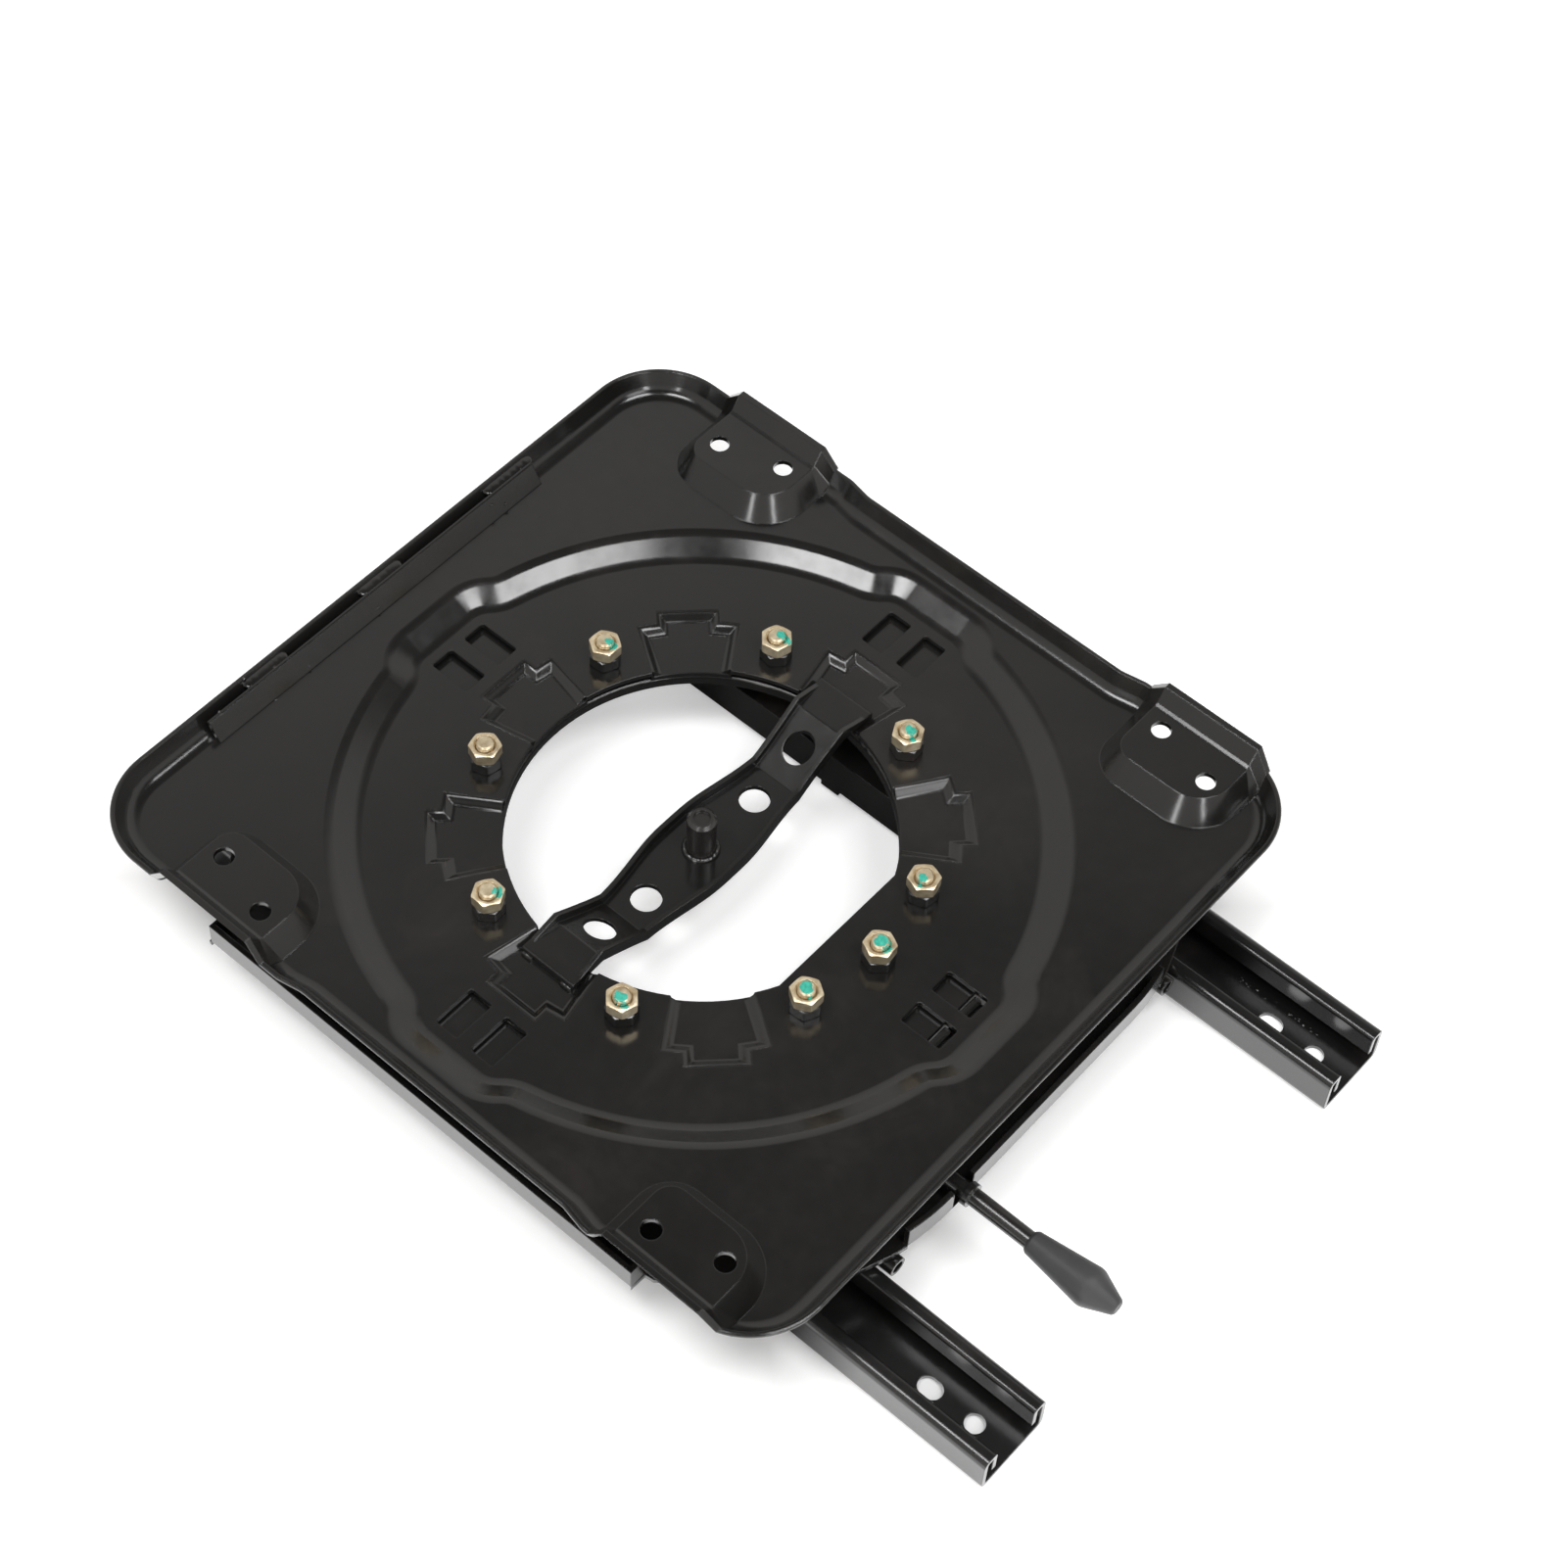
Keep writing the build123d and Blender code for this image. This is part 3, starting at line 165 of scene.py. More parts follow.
def bump(tree, shader, height, strength, distance, after=None):
    """Fine unevenness on the shader, on top of the normal that after gives."""
    made = tree.nodes.new("ShaderNodeBump")
    made.inputs["Strength"].default_value = strength
    made.inputs["Distance"].default_value = distance
    tree.links.new(height, made.inputs["Height"])
    if after is not None:
        tree.links.new(after, made.inputs["Normal"])
    tree.links.new(made.outputs[0], shader.inputs["Normal"])
    return made.outputs[0]


def rounded_edges(tree, radius):
    """Paint and pressing round every sharp edge by this radius."""
    made = tree.nodes.new("ShaderNodeBevel")
    made.samples = 4
    made.inputs["Radius"].default_value = radius
    return made.outputs[0]


def black_paint(name, dark, light, rough, edge=0.0008):
    """Glossy black enamel with brownish clouds, dust specks and orange peel."""
    made, tree, shader = material(name)
    place = coords(tree)
    broad = noise(tree, place, scale=9.0, detail=4.0, rough=0.6)
    cloud = noise(tree, place, scale=16.0, detail=5.0, rough=0.65, distort=0.6)
    fine = noise(tree, place, scale=140.0, rough=0.55)
    specks = noise(tree, place, scale=900.0, detail=2.0, rough=0.6)
    base = ramp(tree, broad, [(0.30, dark), (0.72, light)])
    brown = tuple(c * k for c, k in zip(light, (1.5, 1.25, 1.15)))
    in_cloud = spread(tree, cloud, 0.0, 0.6, from_low=0.55, from_high=0.72)
    stained = mix_colour(tree, in_cloud, base, brown)
    dust = tuple(c * 3.0 for c in light)
    on_speck = spread(tree, specks, 0.0, 0.10, from_low=0.66, from_high=0.76)
    tree.links.new(mix_colour(tree, on_speck, stained, dust), shader.inputs["Base Color"])
    gloss = arithmetic(tree, "ADD", spread(tree, broad, *rough), spread(tree, fine, -0.02, 0.03))
    smears = spread(tree, cloud, 0.0, 0.05, from_low=0.5)
    tree.links.new(arithmetic(tree, "ADD", gloss, smears), shader.inputs["Roughness"])
    shader.inputs["IOR"].default_value = 1.60
    wave = noise(tree, place, scale=26.0, detail=2.0)
    peel = noise(tree, place, scale=420.0, detail=2.0)
    waved = bump(tree, shader, wave, strength=0.05, distance=0.0008, after=rounded_edges(tree, edge))
    bump(tree, shader, peel, strength=0.05, distance=0.0001, after=waved)
    return made


def metal(name, dark, light, rough, scale=60.0, pits=0.12, metallic=1.0):
    """Bare or plated steel, clouded and finely pitted."""
    made, tree, shader = material(name)
    place = coords(tree)
    cloud = noise(tree, place, scale, detail=4.0, rough=0.6)
    tree.links.new(ramp(tree, cloud, [(0.32, dark), (0.70, light)]), shader.inputs["Base Color"])
    tree.links.new(spread(tree, cloud, *rough), shader.inputs["Roughness"])
    shader.inputs["Metallic"].default_value = metallic
    fine = noise(tree, place, scale * 12, rough=0.6)
    bump(tree, shader, fine, pits, distance=0.0002, after=rounded_edges(tree, 0.0003))
    return made


def plastic(name, dark, light, rough, scale=40.0, grain=0.25):
    """Moulded plastic or rubber with a fine grain."""
    made, tree, shader = material(name)
    place = coords(tree)
    cloud = noise(tree, place, scale)
    tree.links.new(ramp(tree, cloud, [(0.3, dark), (0.7, light)]), shader.inputs["Base Color"])
    tree.links.new(spread(tree, cloud, *rough), shader.inputs["Roughness"])
    fine = noise(tree, place, scale=900.0, rough=0.6)
    bump(tree, shader, fine, grain, distance=0.0002, after=rounded_edges(tree, 0.0008))
    return made


def marker_paint(name, dark, light, rough):
    """Marking paint, brushed on in a thin uneven coat."""
    made, tree, shader = material(name)
    streak = noise(tree, coords(tree), scale=700.0, rough=0.6)
    tree.links.new(ramp(tree, streak, [(0.30, dark), (0.70, light)]), shader.inputs["Base Color"])
    tree.links.new(spread(tree, streak, *rough), shader.inputs["Roughness"])
    bump(tree, shader, streak, strength=0.3, distance=0.0002)
    return made


# Each look has its darkest and lightest colour and the range of its roughness
enamel = black_paint("black_paint", (0.0060, 0.0058, 0.0056), (0.0110, 0.0104, 0.0098), (0.13, 0.20))
rail_enamel = black_paint("rail_paint", (0.0060, 0.0058, 0.0058), (0.0110, 0.0106, 0.0102), (0.15, 0.24))
black_steel = black_paint("black_hardware", (0.008, 0.008, 0.008), (0.020, 0.019, 0.018), (0.16, 0.28),
                          edge=0.0004)
stud_steel = black_paint("stud_paint", (0.010, 0.009, 0.009), (0.030, 0.027, 0.025), (0.18, 0.30),
                         edge=0.0004)
weld_paint = black_paint("weld_paint", (0.006, 0.006, 0.006), (0.014, 0.013, 0.012), (0.10, 0.20),
                         edge=0.0003)
plain_steel = metal("plain_steel", (0.30, 0.30, 0.30), (0.52, 0.52, 0.52), (0.28, 0.45))
pale_zinc = metal("yellow_zinc", (0.60, 0.47, 0.29), (0.92, 0.80, 0.58), (0.30, 0.46),
                  scale=240.0, pits=0.10, metallic=0.85)
nylon = plastic("nylon", (0.62, 0.60, 0.55), (0.74, 0.72, 0.68), (0.42, 0.55))
grip_rubber = plastic("grip_rubber", (0.030, 0.030, 0.031), (0.043, 0.043, 0.044), (0.46, 0.60),
                      scale=60.0, grain=0.35)
teal_paint = marker_paint("teal_marking", (0.02, 0.30, 0.22), (0.06, 0.48, 0.36), (0.35, 0.55))

slot_looks = {
    "black_paint": enamel, "rail_paint": rail_enamel, "runner_steel": plain_steel,
    "black_hardware": black_steel, "yellow_zinc": pale_zinc, "stud_steel": stud_steel,
    "nylon": nylon, "grip_rubber": grip_rubber,
}
for part in frame["record"]["subparts"]:
    mesh = nodes[part["node"]].data
    mesh.materials.clear()
    mesh.materials.append(slot_looks[part["material_slot"]])


# Added pieces

def piece(name, points, faces, body, slot, look):
    """A closed mesh piece, smooth but for its real edges, riding on a body."""
    sharp_from = radians(34)
    mesh = bpy.data.meshes.new(name)
    mesh.from_pydata([tuple(p) for p in points], [], faces)
    mesh.validate()
    work = bmesh.new()
    work.from_mesh(mesh)
    bmesh.ops.recalc_face_normals(work, faces=work.faces[:])
    work.to_mesh(mesh)
    work.free()
    mesh.shade_smooth()
    mesh.set_sharp_from_angle(angle=sharp_from)
    mesh.materials.append(look)
    made = bpy.data.objects.new(name, mesh)
    scene.collection.objects.link(made)
    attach(made, body)
    return made


def ring_faces(first, second, around):
    """Quads between two rings of points that start at first and second."""
    faces = []
    for i in range(around):
        after = (i + 1) % around
        faces.append((first + i, first + after, second + after, second + i))
    return faces


def stacked_faces(rings, around, start=0):
    """Quads between each ring of points and the next, the first ring starting at start."""
    faces = []
    for k in range(rings - 1):
        faces += ring_faces(start + k * around, start + (k + 1) * around, around)
    return faces


def lid(start, around):
    """One face that closes the ring of points that starts at start."""
    return tuple(range(start, start + around))


def hexagon_reach(angle, across_flats):
    """Distance from a hexagon's middle to its edge, its corners a little rounded."""
    rounded_corner = 1.135
    off_flat = (angle % (pi / 3)) - pi / 6
    return min(across_flats / 2 / cos(off_flat), across_flats / 2 * rounded_corner)


def hex_nut(centre, low, high, across_flats, bore_r, turn):
    """Points and faces of a hexagon nut with chamfered corners; bore_r 0 leaves it solid."""
    around = 72
    flat_r = across_flats / 2 * 0.94
    corner_slope = tan(radians(30))
    lead = 0.0008
    rings = []

    def circle(radius, z):
        rings.append([(radius, z)] * around)

    def hexagon(side):
        ring = []
        for i in range(around):
            reach = hexagon_reach(2 * pi * i / around, across_flats)
            drop = max(0.0, reach - flat_r) * corner_slope
            ring.append((reach, low + drop if side < 0 else high - drop))
        rings.append(ring)

    if bore_r:
        circle(bore_r, low)
    circle(flat_r, low)
    hexagon(-1)
    hexagon(1)
    circle(flat_r, high)
    if bore_r:
        circle(bore_r + lead, high)
        circle(bore_r, high - lead)
    points = []
    for ring in rings:
        for i, (radius, z) in enumerate(ring):
            angle = 2 * pi * i / around + turn
            points.append(Vector((centre.x + radius * cos(angle), centre.y + radius * sin(angle), z)))
    faces = stacked_faces(len(rings), around)
    last = (len(rings) - 1) * around
    if bore_r:
        faces += ring_faces(last, 0, around)
    else:
        faces += [lid(0, around), lid(last, around)]
    return points, faces


def threaded_rod(centre, low, high, outer_r, pitch, depth, chamfer):
    """Points and faces of a rod cut with a screw thread, its top edge chamfered."""
    around = 40
    rings_a_turn = 8
    steps = int((high - low) / pitch * rings_a_turn)
    points = []
    for k in range(steps + 1):
        z = low + (high - low) * k / steps
        for i in range(around):
            turn = i / around
            wave = abs(((z / pitch - turn) % 1.0) * 2 - 1)
            past_chamfer = max(0.0, z - (high - chamfer))
            radius = min(outer_r - depth * wave, outer_r - past_chamfer)
            angle = 2 * pi * turn
            points.append(Vector((centre.x + radius * cos(angle), centre.y + radius * sin(angle), z)))
    faces = stacked_faces(steps + 1, around)
    faces += [lid(0, around), lid(steps * around, around)]
    return points, faces


def merged(shapes):
    """Several (points, faces) shapes as one."""
    points, faces = [], []
    for more_points, more_faces in shapes:
        start = len(points)
        points += more_points
        faces += [tuple(start + i for i in face) for face in more_faces]
    return points, faces


def bead(path, half_width, rise, sink, ripple, seed, closed=False):
    """Points and faces of a weld bead laid along path, lumpy and rippled, its ends rounded.

    It stands rise above the path and reaches sink below it, and swells once in ripple points of the path.
    """
    draw = random.Random(seed)
    around = 14
    swelling = 0.10
    thin_end = 0.08
    count = len(path)
    wobble = [draw.uniform(0.90, 1.10) for _ in range(count)]
    points = []
    for k, p in enumerate(path):
        before = path[k - 1] if k or closed else p
        after = path[(k + 1) % count] if k < count - 1 or closed else p
        along = (after - before).normalized()
        side = along.cross(straight_up).normalized()
        share = k / (count - 1)
        rounding = sqrt(max(0.0, 1 - abs(2 * share - 1) ** 8))
        end = 1.0 if closed else rounding * (1 - thin_end) + thin_end
        swell = 1 + swelling * abs(sin(pi * k / ripple))
        for i in range(around):
            angle = 2 * pi * i / around
            across = cos(angle) * half_width * end * (0.85 + 0.15 * wobble[k])
            reach = rise * swell * wobble[k] if sin(angle) > 0 else sink
            points.append(p + side * across + straight_up * (sin(angle) * reach * end))
    faces = stacked_faces(count, around)
    last = (count - 1) * around
    if closed:
        faces += ring_faces(last, 0, around)
    else:
        faces += [lid(0, around), lid(last, around)]
    return points, faces


def straight_path(start, end, step):
    """Points from start to end, about step apart."""
    count = max(4, int((end - start).length / step))
    return [start.lerp(end, k / count) for k in range(count + 1)]


def lump(centre, radius, flat, seed):
    """Points and faces of one weld spatter lump, a squashed uneven ball."""
    draw = random.Random(seed)
    most_lean, unevenness = 0.35, 0.10
    work = bmesh.new()
    bmesh.ops.create_icosphere(work, subdivisions=3, radius=1.0)
    lean = Vector((draw.uniform(-1, 1), draw.uniform(-1, 1), 0)) * most_lean
    points = []
    for v in work.verts:
        p = v.co.copy()
        p *= 1 + unevenness * sin(5 * p.x + 3 * seed) * cos(4 * p.y + seed)
        p += lean * p.z * 0.5
        points.append(centre + Vector((p.x * radius, p.y * radius, p.z * radius * flat)))
    faces = [tuple(v.index for v in f.verts) for f in work.faces]
    work.free()
    return points, faces


def surface(*names):
    """Ray target made of CAD nodes."""
    points, faces = [], []
    for name in names:
        mesh = nodes[name].data
        start = len(points)
        points += [v.co.copy() for v in mesh.vertices]
        faces += [tuple(start + i for i in p.vertices) for p in mesh.polygons]
    return BVHTree.FromPolygons(points, faces)


def rest_on(target, x, y, top=200.0):
    """The first point of target below (x, y, top), given in millimetres from the swivel axis."""
    return target.ray_cast(at(x, y, top), straight_down)[0]


# Clamp bolts, base nuts and lock nuts: eight sets evenly round the ring and one more on the +X side
# All of them are M8 hardware; sizes are in metres
ring_r = 0.099
nut_angles = [22.5 + 45 * i for i in range(8)] + [0.0]
nut_places = [on_circle(ring_r, radians(a), 0) for a in nut_angles]

# Each nut and bolt head was left at its own turn when it was tightened
lock_nut_turns = [radians(11 * a + 35) for a in nut_angles]
base_nut_turns = [radians(7 * a + 42) for a in nut_angles]
bolt_head_turns = [radians(3 * a) for a in nut_angles]

nut_across = 0.0130
bolt_r = 0.0040
bore_r = bolt_r + 0.0002
thread_pitch, thread_depth, thread_chamfer = 0.00125, 0.00035, 0.0008
lock_nut_low = node_low("lock_nuts").z
lock_nut_high = node_high("lock_nuts").z
base_nut_low = node_low("base_nuts").z
base_nut_high = node_high("base_nuts").z
bolt_low = node_low("clamp_bolts").z
bolt_top = node_high("clamp_bolts").z
head_high = bolt_low + 0.0053
rod_low = head_high - 0.0002


def nut_ring(name, low, high, turns, slot, look, replaced):
    """Nine detailed nuts as one piece, in the place of a CAD node."""
    shape = merged([hex_nut(p, low, high, nut_across, bore_r, turn) for p, turn in zip(nut_places, turns)])
    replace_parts(piece(name, *shape, "turntable", slot, look), replaced)
    return shape


def bolt_ring():
    """Nine detailed bolts as one piece, in the place of the CAD ones."""
    shapes = []
    for p, turn in zip(nut_places, bolt_head_turns):
        shapes.append(hex_nut(p, bolt_low, head_high, nut_across, 0, turn))
        shapes.append(threaded_rod(p, rod_low, bolt_top, bolt_r, thread_pitch, thread_depth, thread_chamfer))
    shape = merged(shapes)
    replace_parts(piece("detailed_clamp_bolts", *shape, "turntable", "yellow_zinc", pale_zinc), "clamp_bolts")
    return shape


lock_nut_shape = nut_ring("detailed_lock_nuts", lock_nut_low, lock_nut_high, lock_nut_turns,
                          "yellow_zinc", pale_zinc, "lock_nuts")
nut_ring("detailed_base_nuts", base_nut_low, base_nut_high, base_nut_turns,
         "black_hardware", black_steel, "base_nuts")
bolt_shape = bolt_ring()


def dab(target, centre, reach, stretch, turn, seed):
    """A thin closed dab of paint lying on target round centre."""
    draw = random.Random(seed)
    around, rings, thick = 22, 6, 0.00012
    smallest = 0.02
    phase = [draw.uniform(0, 2 * pi) for _ in range(3)]
    wavy = [(2, 0.20), (3, 0.12), (7, 0.06)]
    upper, lower = [], []
    for k in range(rings + 1):
        share = k / rings
        for i in range(around):
            angle = 2 * pi * i / around
            edge = 1 + sum(size * sin(waves * angle + shift) for (waves, size), shift in zip(wavy, phase))
            flat = Vector((cos(angle) * stretch, sin(angle), 0)) * reach * edge * max(share, smallest)
            flat.rotate(Matrix.Rotation(turn, 3, "Z"))
            start = centre + flat
            hit = target.ray_cast(Vector((start.x, start.y, bolt_top + 0.01)), straight_down)
            z = hit[0].z if hit[0] is not None else lock_nut_low
            upper.append(Vector((start.x, start.y, z + thick * (1 - share ** 4))))
            lower.append(Vector((start.x, start.y, z - thick)))
    second = len(upper)
    faces = stacked_faces(rings + 1, around) + stacked_faces(rings + 1, around, second)
    faces += [lid(0, around), lid(second, around)]
    faces += ring_faces(second - around, 2 * second - around, around)
    return upper + lower, faces


def paint_marks():
    """Teal marks across bolt end and nut, as a fitter leaves them after tightening.

    Each mark gives the nut it is on, then the middle of the dab from the bolt's middle, to the right
    and upwards as the camera sees it, and the dab's reach, all three in millimetres, and its stretch.
    """
    target = BVHTree.FromPolygons(*merged([lock_nut_shape, bolt_shape]))
    view_right = Vector((0.79, 0.61, 0))
    view_up = Vector((-0.61, 0.79, 0))
    marks = [
        (0, -0.9, -2.6, 2.875, 0.7), (1, 1.2, -1.2, 3.25, 0.7), (2, 3.2, -0.6, 3.25, 0.8),
        (3, 3.0, -1.6, 3.0, 0.7), (5, 4.1, -0.2, 2.75, 0.9), (6, -0.8, -1.4, 3.25, 0.8),
        (7, 0.0, 0.2, 3.875, 0.8), (8, 0.9, 0.3, 3.625, 0.8), (8, 3.0, -3.2, 2.25, 0.6),
        (6, 1.6, -4.4, 1.75, 0.8), (1, 2.0, -4.2, 1.875, 0.7),
    ]
    shapes = []
    for k, (nut, right, up, reach, stretch) in enumerate(marks):
        middle = nut_places[nut] + (view_right * right + view_up * up) * millimetre
        shapes.append(dab(target, middle, reach * millimetre, stretch, turn=0.7 * k, seed=40 + k))
    piece("fitter_marks", *merged(shapes), "turntable", "yellow_zinc", teal_paint)


paint_marks()


# Ring dimples: the pressed slopes between the recess floor and the sunk fields
def dimple_edges():
    """Outer and inner edge of one dimple's slopes, as (outwards, sideways) in millimetres.

    Each runs from the centre hole along the side to the ear, in to the step, across it and back.
    """
    hole_r, ear_r, step_r, step_half = 86.0, 112.0, 118.0, 14.0
    half_angle = radians(11.3)
    margin, run = 1.0, 5.0
    outer_slant, inner_slant = 1.5, 1.0
    hole_u, hole_t = hole_r * cos(half_angle), hole_r * sin(half_angle)
    ear_u, ear_t = ear_r * cos(half_angle), ear_r * sin(half_angle)
    outer = [(hole_u, -hole_t - margin), (ear_u, -ear_t - margin),
             (ear_u + outer_slant, -step_half), (step_r, -step_half), (step_r, 0)]
    inner = [(hole_u + inner_slant, -hole_t - margin + run),
             (ear_u - run, -(ear_r - run) * sin(half_angle) - margin + run),
             (ear_u - run + inner_slant, run - step_half), (step_r - run, run - step_half), (step_r - run, 0)]
    outer += [(u, -t) for u, t in reversed(outer[:-1])]
    inner += [(u, -t) for u, t in reversed(inner[:-1])]
    return outer, inner


def dimple_slope(along, recess_z, field_z):
    """Points and faces of the slopes of the dimple that lies along this direction from the axis."""
    outer, inner = dimple_edges()
    across = Vector((-along.y, along.x, 0))
    proud, buried = 0.02, 0.4
    foot_z = field_z - buried
    steps = 8
    around = steps + 3
    points = []
    for (u, t), (inner_u, inner_t) in zip(outer, inner):
        profile = []
        for k in range(steps + 1):
            share = k / steps
            fall = share * share * (3 - 2 * share)
            profile.append((u + (inner_u - u) * share, t + (inner_t - t) * share,
                            recess_z + proud + (field_z - recess_z) * fall))
        profile += [(inner_u, inner_t, foot_z), (u, t, foot_z)]
        for out, aside, z in profile:
            flat = along * out + across * aside
            points.append(at(flat.x, flat.y, z))
    faces = stacked_faces(len(outer), around)
    faces += [lid(0, around), lid(len(points) - around, around)]
    return points, faces


def dimple_slopes():
    """Slopes round seven sunk fields; the straight side of the centre hole is where an eighth would be."""
    field_middle = 103
    field_z = rest_on(surface("top_plate"), 0, -field_middle).z / millimetre
    recess_z = base_nut_low / millimetre
    shapes = []
    for angle in range(45, 360, 45):
        along = Vector((cos(radians(angle)), sin(radians(angle)), 0))
        shapes.append(dimple_slope(along, recess_z, field_z))
    piece("dimple_slopes", *merged(shapes), "turntable", "black_paint", enamel)


dimple_slopes()


# Edge bar: three welds fill the slot towards the rim, with spatter on the bar and the pan
def bar_welds():
    """Weld runs in the slot behind the bar, each between two places along it, in millimetres."""
    slot_x, below_bar_top = -188.6, 0.9
    spans = [(-87.0, -62.0), (-17.5, 8.0), (62.0, 92.0)]
    z = node_high("edge_bar").z / millimetre - below_bar_top
    shapes = []
    for k, (start, end) in enumerate(spans):
        path = straight_path(at(slot_x, start, z), at(slot_x, end, z), step=0.0008)
        shapes.append(bead(path, half_width=0.0036, rise=0.0008, sink=0.0036, ripple=5.0, seed=70 + k))
    piece("edge_bar_welds", *merged(shapes), "turntable", "black_paint", weld_paint)


def bar_spatter():
    """Drops of weld spatter, each given by its place and radius in millimetres."""
    target = surface("top_plate", "edge_bar")
    drops = [
        (-186, -71, 0.9), (-180.2, -14, 0.7), (-182.5, 60.5, 0.9), (-180.4, 67.3, 1.0), (-188.6, 4.5, 0.8),
        (-179.8, -57, 0.7), (-178.3, -78.8, 0.9), (-185.6, -104, 0.8), (-190.6, -84.9, 0.8),
        (-186, 83.6, 0.6), (-177, 36, 0.5), (-176, -36, 0.6), (-124, 96, 0.6),
    ]
    shapes = []
    for k, (x, y, radius) in enumerate(drops):
        shapes.append(lump(rest_on(target, x, y), radius * millimetre, flat=0.7, seed=90 + k))
    piece("edge_bar_spatter", *merged(shapes), "turntable", "black_paint", weld_paint)


bar_welds()
bar_spatter()


# Centre strap and stud: weld runs at the strap's ends and round the stud's foot
def strap_welds():
    """Two short runs beyond each end of the strap and a closed one round the stud."""
    strap_low = node_low("centre_strap")
    strap_high = node_high("centre_strap")
    target = surface("top_plate", "centre_strap")
    half_gap, half_run = 11.0, 3.2
    past_end, off_end, lift = 0.3, 1.5, 0.4
    shapes = []
    for side, strap_end in ((-1, strap_low.y), (1, strap_high.y)):
        y = strap_end / millimetre + side * past_end
        for k, x in enumerate((-half_gap, half_gap)):
            z = rest_on(target, x, y + side * off_end).z / millimetre + lift
            path = straight_path(at(x - half_run, y, z), at(x + half_run, y, z), step=0.0006)
            shapes.append(bead(path, half_width=0.0013, rise=0.0016, sink=0.0008, ripple=2.5,
                               seed=120 + 2 * k + side))
    stud_low = node_low("centre_stud")
    foot_r = (node_high("centre_stud").x - stud_low.x) / 2 + 0.0006
    count = 84
    ring = [on_circle(foot_r, 2 * pi * k / count, stud_low.z) for k in range(count)]
    shapes.append(bead(ring, half_width=0.0016, rise=0.0018, sink=0.0004, ripple=4.0, seed=131, closed=True))
    piece("strap_welds", *merged(shapes), "turntable", "black_paint", weld_paint)


strap_welds()


# Floor rail: a row of weld spatter left on the floor of the left rail's front end
def rail_spatter():
    """Drops strewn along a line beside the rail's wall, placed in millimetres."""
    draw = random.Random(7)
    target = surface("floor_rail_left")
    line_start, line_end, line_y = 202, 252, 124.6
    inside_rail_z = 12.0
    shapes = []
    for k in range(22):
        x = draw.uniform(line_start, line_end)
        y = line_y + draw.uniform(-1.2, 1.4)
        place = rest_on(target, x, y, inside_rail_z)
        if place is not None:
            shapes.append(lump(place, draw.uniform(0.35, 0.95) * millimetre, flat=0.6, seed=150 + k))
    piece("rail_spatter", *merged(shapes), "rails", "rail_paint", weld_paint)


rail_spatter()


# Floor

def off_middle(tree, value, middle):
    """How far value is from middle, to either side."""
    return arithmetic(tree, "ABSOLUTE", arithmetic(tree, "SUBTRACT", value, middle))


def outward_of_part(tree, floor_x, floor_y):
    """Rises from 0 under the swivel axis through 1 at the edge of the part's shade."""
    shade_half_x, shade_half_y = 0.185, 0.16
    out_x = arithmetic(tree, "DIVIDE", off_middle(tree, floor_x, swivel_x), shade_half_x)
    out_y = arithmetic(tree, "DIVIDE", off_middle(tree, floor_y, 0.0), shade_half_y)
    return arithmetic(tree, "MAXIMUM", out_x, out_y)


def seen_in_hole(tree, floor_x, floor_y):
    """1 on the floor that shows through the centre hole and 0 away from it.

    The camera looks down at a slant, so that floor lies a little beyond the hole.
    """
    middle_x, middle_y = swivel_x - 0.020, 0.026
    hole_x = arithmetic(tree, "SUBTRACT", floor_x, middle_x)
    hole_y = arithmetic(tree, "SUBTRACT", floor_y, middle_y)
    squares = [arithmetic(tree, "MULTIPLY", offset, offset) for offset in (hole_x, hole_y)]
    from_hole = arithmetic(tree, "POWER", arithmetic(tree, "ADD", *squares), 0.5)
    off_hole = spread(tree, from_hole, 0.0, 1.0, from_low=0.090, from_high=0.105)
    return arithmetic(tree, "SUBTRACT", 1.0, off_hole)


def clear_of_near_rail(tree, floor_x, floor_y):
    """0 on a narrow strip under the holes of the near rail, as long as the rail, and 1 beside it."""
    rail_low = node_low("floor_rail_right")
    rail_high = node_high("floor_rail_right")
    middle = (rail_low + rail_high) / 2
    half_length = (rail_high.x - rail_low.x) / 2
    # The strip marks where painted shade goes into the near rail's holes
    shaded, clear = 0.008, 0.014
    beside = off_middle(tree, floor_y, middle.y)
    past_end = arithmetic(tree, "ADD", off_middle(tree, floor_x, middle.x), clear - half_length)
    return spread(tree, arithmetic(tree, "MAXIMUM", beside, past_end), 0.0, 1.0, shaded, clear)


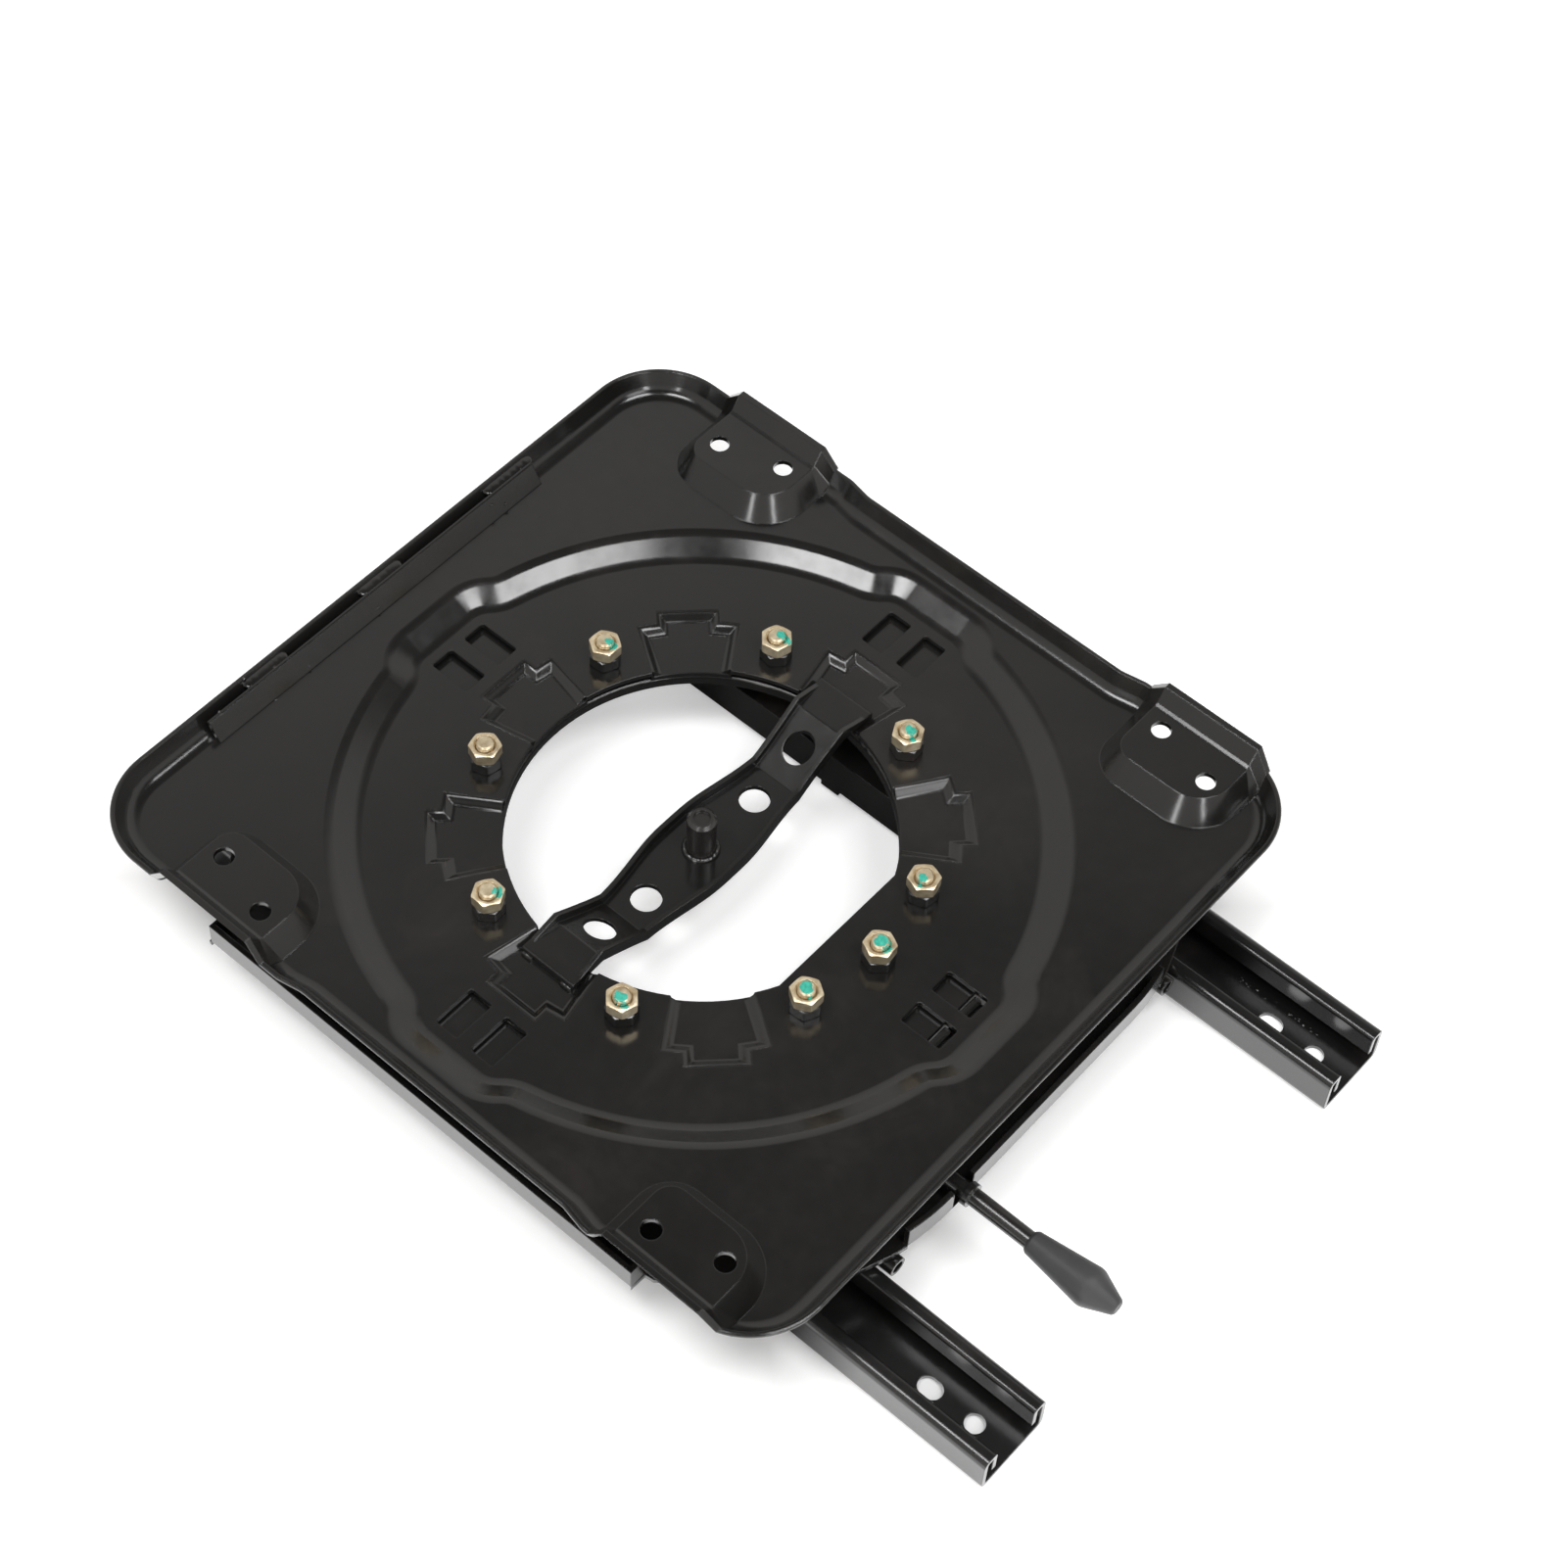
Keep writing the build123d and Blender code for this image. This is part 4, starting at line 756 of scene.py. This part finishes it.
def floor_look():
    """White that keeps the part's shadow, shows white to the camera and in gloss, and is clear from below.

    Under the part both whites are held back, as painted shade, but for the floor that shows through the
    centre hole. In the holes of the near rail the camera's white is held back too, so that they stay dark as
    painted shade.
    """
    made, tree, shader = material("floor_white")
    shader.inputs["Roughness"].default_value = 0.9
    shader.inputs["Specular IOR Level"].default_value = 0.1
    split = tree.nodes.new("ShaderNodeSeparateXYZ")
    tree.links.new(coords(tree), split.inputs[0])
    place = (split.outputs["X"], split.outputs["Y"])
    outward = outward_of_part(tree, *place)
    clear_of_part = spread(tree, outward, 0.0, 1.0, from_low=0.90, from_high=1.10)
    far_lift = spread(tree, outward, 0.0, 0.50, from_low=2.5, from_high=8.0)
    near_lift = 0.40
    # Painted shadow: the camera's glow is dropped under the part, but kept on the floor seen through the
    # centre hole
    lit = arithmetic(tree, "MAXIMUM", clear_of_part, seen_in_hole(tree, *place))
    # Painted shade in the near rail's holes: the camera's glow is dropped on the strip under them
    lit = arithmetic(tree, "MULTIPLY", lit, clear_of_near_rail(tree, *place))
    lift = arithmetic(tree, "ADD", arithmetic(tree, "MULTIPLY", lit, near_lift), far_lift)

    rays = tree.nodes.new("ShaderNodeLightPath")
    seen = arithmetic(tree, "MULTIPLY", rays.outputs["Is Camera Ray"], lift)
    # Painted shade in reflections: under the part, glossy rays see a dark floor (0.10) with no glow
    mirrored = arithmetic(tree, "MULTIPLY", rays.outputs["Is Glossy Ray"], clear_of_part)
    mirrored_under = arithmetic(tree, "SUBTRACT", rays.outputs["Is Glossy Ray"], mirrored)
    colour = mix_colour(tree, mirrored_under, (0.86, 0.86, 0.86), (0.10, 0.10, 0.10))
    tree.links.new(colour, shader.inputs["Base Color"])
    glow = tree.nodes.new("ShaderNodeEmission")
    tree.links.new(arithmetic(tree, "ADD", seen, mirrored), glow.inputs["Strength"])
    both = tree.nodes.new("ShaderNodeAddShader")
    tree.links.new(shader.outputs[0], both.inputs[0])
    tree.links.new(glow.outputs[0], both.inputs[1])

    below = tree.nodes.new("ShaderNodeBsdfTransparent")
    side = tree.nodes.new("ShaderNodeNewGeometry")
    one_sided = tree.nodes.new("ShaderNodeMixShader")
    tree.links.new(side.outputs["Backfacing"], one_sided.inputs[0])
    tree.links.new(both.outputs[0], one_sided.inputs[1])
    tree.links.new(below.outputs[0], one_sided.inputs[2])
    out = next(n for n in tree.nodes if n.type == "OUTPUT_MATERIAL")
    tree.links.new(one_sided.outputs[0], out.inputs[0])
    return made


def studio_floor():
    """Wide floor just under the rails."""
    half_side, drop = 9, 0.0005
    corners = [(-half_side, -half_side, 0), (half_side, -half_side, 0),
               (half_side, half_side, 0), (-half_side, half_side, 0)]
    mesh = bpy.data.meshes.new("floor")
    mesh.from_pydata(corners, [], [(0, 1, 2, 3)])
    mesh.materials.append(floor_look())
    floor = bpy.data.objects.new("floor", mesh)
    scene.collection.objects.link(floor)
    floor.location.z = -drop


studio_floor()


# Light

def studio_world():
    """Room light that falls off towards the ceiling and +X; the camera sees plain white."""
    world = bpy.data.worlds.new("studio")
    scene.world = world
    world.use_nodes = True
    tree = world.node_tree
    tree.nodes.clear()
    out = tree.nodes.new("ShaderNodeOutputWorld")
    room = tree.nodes.new("ShaderNodeBackground")
    direction = tree.nodes.new("ShaderNodeTexCoord")
    lean = tree.nodes.new("ShaderNodeVectorMath")
    lean.operation = "DOT_PRODUCT"
    lean.inputs[1].default_value = (0.25, 0, 1)
    tree.links.new(direction.outputs["Generated"], lean.inputs[0])
    warmth = (1, 0.985, 0.96)
    levels = [(0.0, 0.62), (0.45, 0.70), (0.65, 0.70), (0.74, 0.30), (0.80, 0.10), (1.0, 0.10)]
    stops = [(position, tuple(level * tint for tint in warmth)) for position, level in levels]
    tree.links.new(ramp(tree, lean.outputs["Value"], stops), room.inputs["Color"])
    white = tree.nodes.new("ShaderNodeBackground")
    white.inputs["Color"].default_value = (1, 1, 1, 1)
    pick = tree.nodes.new("ShaderNodeMixShader")
    rays = tree.nodes.new("ShaderNodeLightPath")
    tree.links.new(rays.outputs["Is Camera Ray"], pick.inputs[0])
    tree.links.new(room.outputs[0], pick.inputs[1])
    tree.links.new(white.outputs[0], pick.inputs[2])
    tree.links.new(pick.outputs[0], out.inputs[0])


def lamp_at(name, size, power, stand):
    """Rectangular lamp with its place and turn given by the matrix stand."""
    lamp = bpy.data.lights.new(name, "AREA")
    lamp.shape = "RECTANGLE"
    lamp.size, lamp.size_y = size
    lamp.energy = power
    made = bpy.data.objects.new(name, lamp)
    scene.collection.objects.link(made)
    made.matrix_world = stand


def softbox(name, place, target, size, power):
    """Lamp at place, turned to target; its first side lies level."""
    back = (Vector(place) - Vector(target)).normalized()
    level = straight_up.cross(back).normalized()
    lamp_at(name, size, power, standing(level, back.cross(level), back, place))


def hung_strip(name, first, second, width, power):
    """Overhead strip lamp between two points at one height, facing down."""
    first, second = Vector(first), Vector(second)
    along = (second - first).normalized()
    size = ((second - first).length, width)
    middle = (first + second) / 2
    lamp_at(name, size, power, standing(along, straight_up.cross(along), straight_up, middle))


studio_world()
hung_strip("strip_right", (0.98, 0.66, 2.0), (0.68, -0.24, 2.0), width=0.55, power=19)
hung_strip("strip_front", (0.16, -0.66, 2.0), (-0.62, -0.88, 2.0), width=0.50, power=18)
softbox("room_key", (1.9, -0.2, 1.7), (0, 0, 0), size=(1.1, 0.9), power=12)
softbox("front_right", (2.10, -1.05, 0.95), (0, 0, 0.06), size=(0.28, 1.1), power=9)
softbox("front_left", (0.50, -2.30, 0.95), (0, 0, 0.06), size=(0.28, 1.1), power=9)


# Camera at the photograph's view
def photo_camera():
    """Camera worked out from the nuts, corners and rail ends in the photograph.

    Its azimuth is counted from the -Y side towards +X.
    """
    azimuth, elevation, roll = radians(37.86), radians(54.69), radians(3.97)
    place = Vector((swivel_x + 0.52461, -0.61973, 1.23181))
    focal_pixels, frame_pixels, sensor_width = 3418, 1601, 36.0
    back = Vector((sin(azimuth) * cos(elevation), -cos(azimuth) * cos(elevation), sin(elevation)))
    right = (-back).cross(straight_up).normalized()
    up = right.cross(-back)
    right, up = cos(roll) * right + sin(roll) * up, -sin(roll) * right + cos(roll) * up
    lens = bpy.data.cameras.new("camera")
    lens.sensor_fit = "HORIZONTAL"
    lens.sensor_width = sensor_width
    lens.lens = focal_pixels / frame_pixels * sensor_width
    lens.clip_end = 50
    eye = bpy.data.objects.new("camera", lens)
    scene.collection.objects.link(eye)
    eye.matrix_world = standing(right, up, back, place)
    scene.camera = eye


photo_camera()
scene.view_settings.view_transform = "Standard"
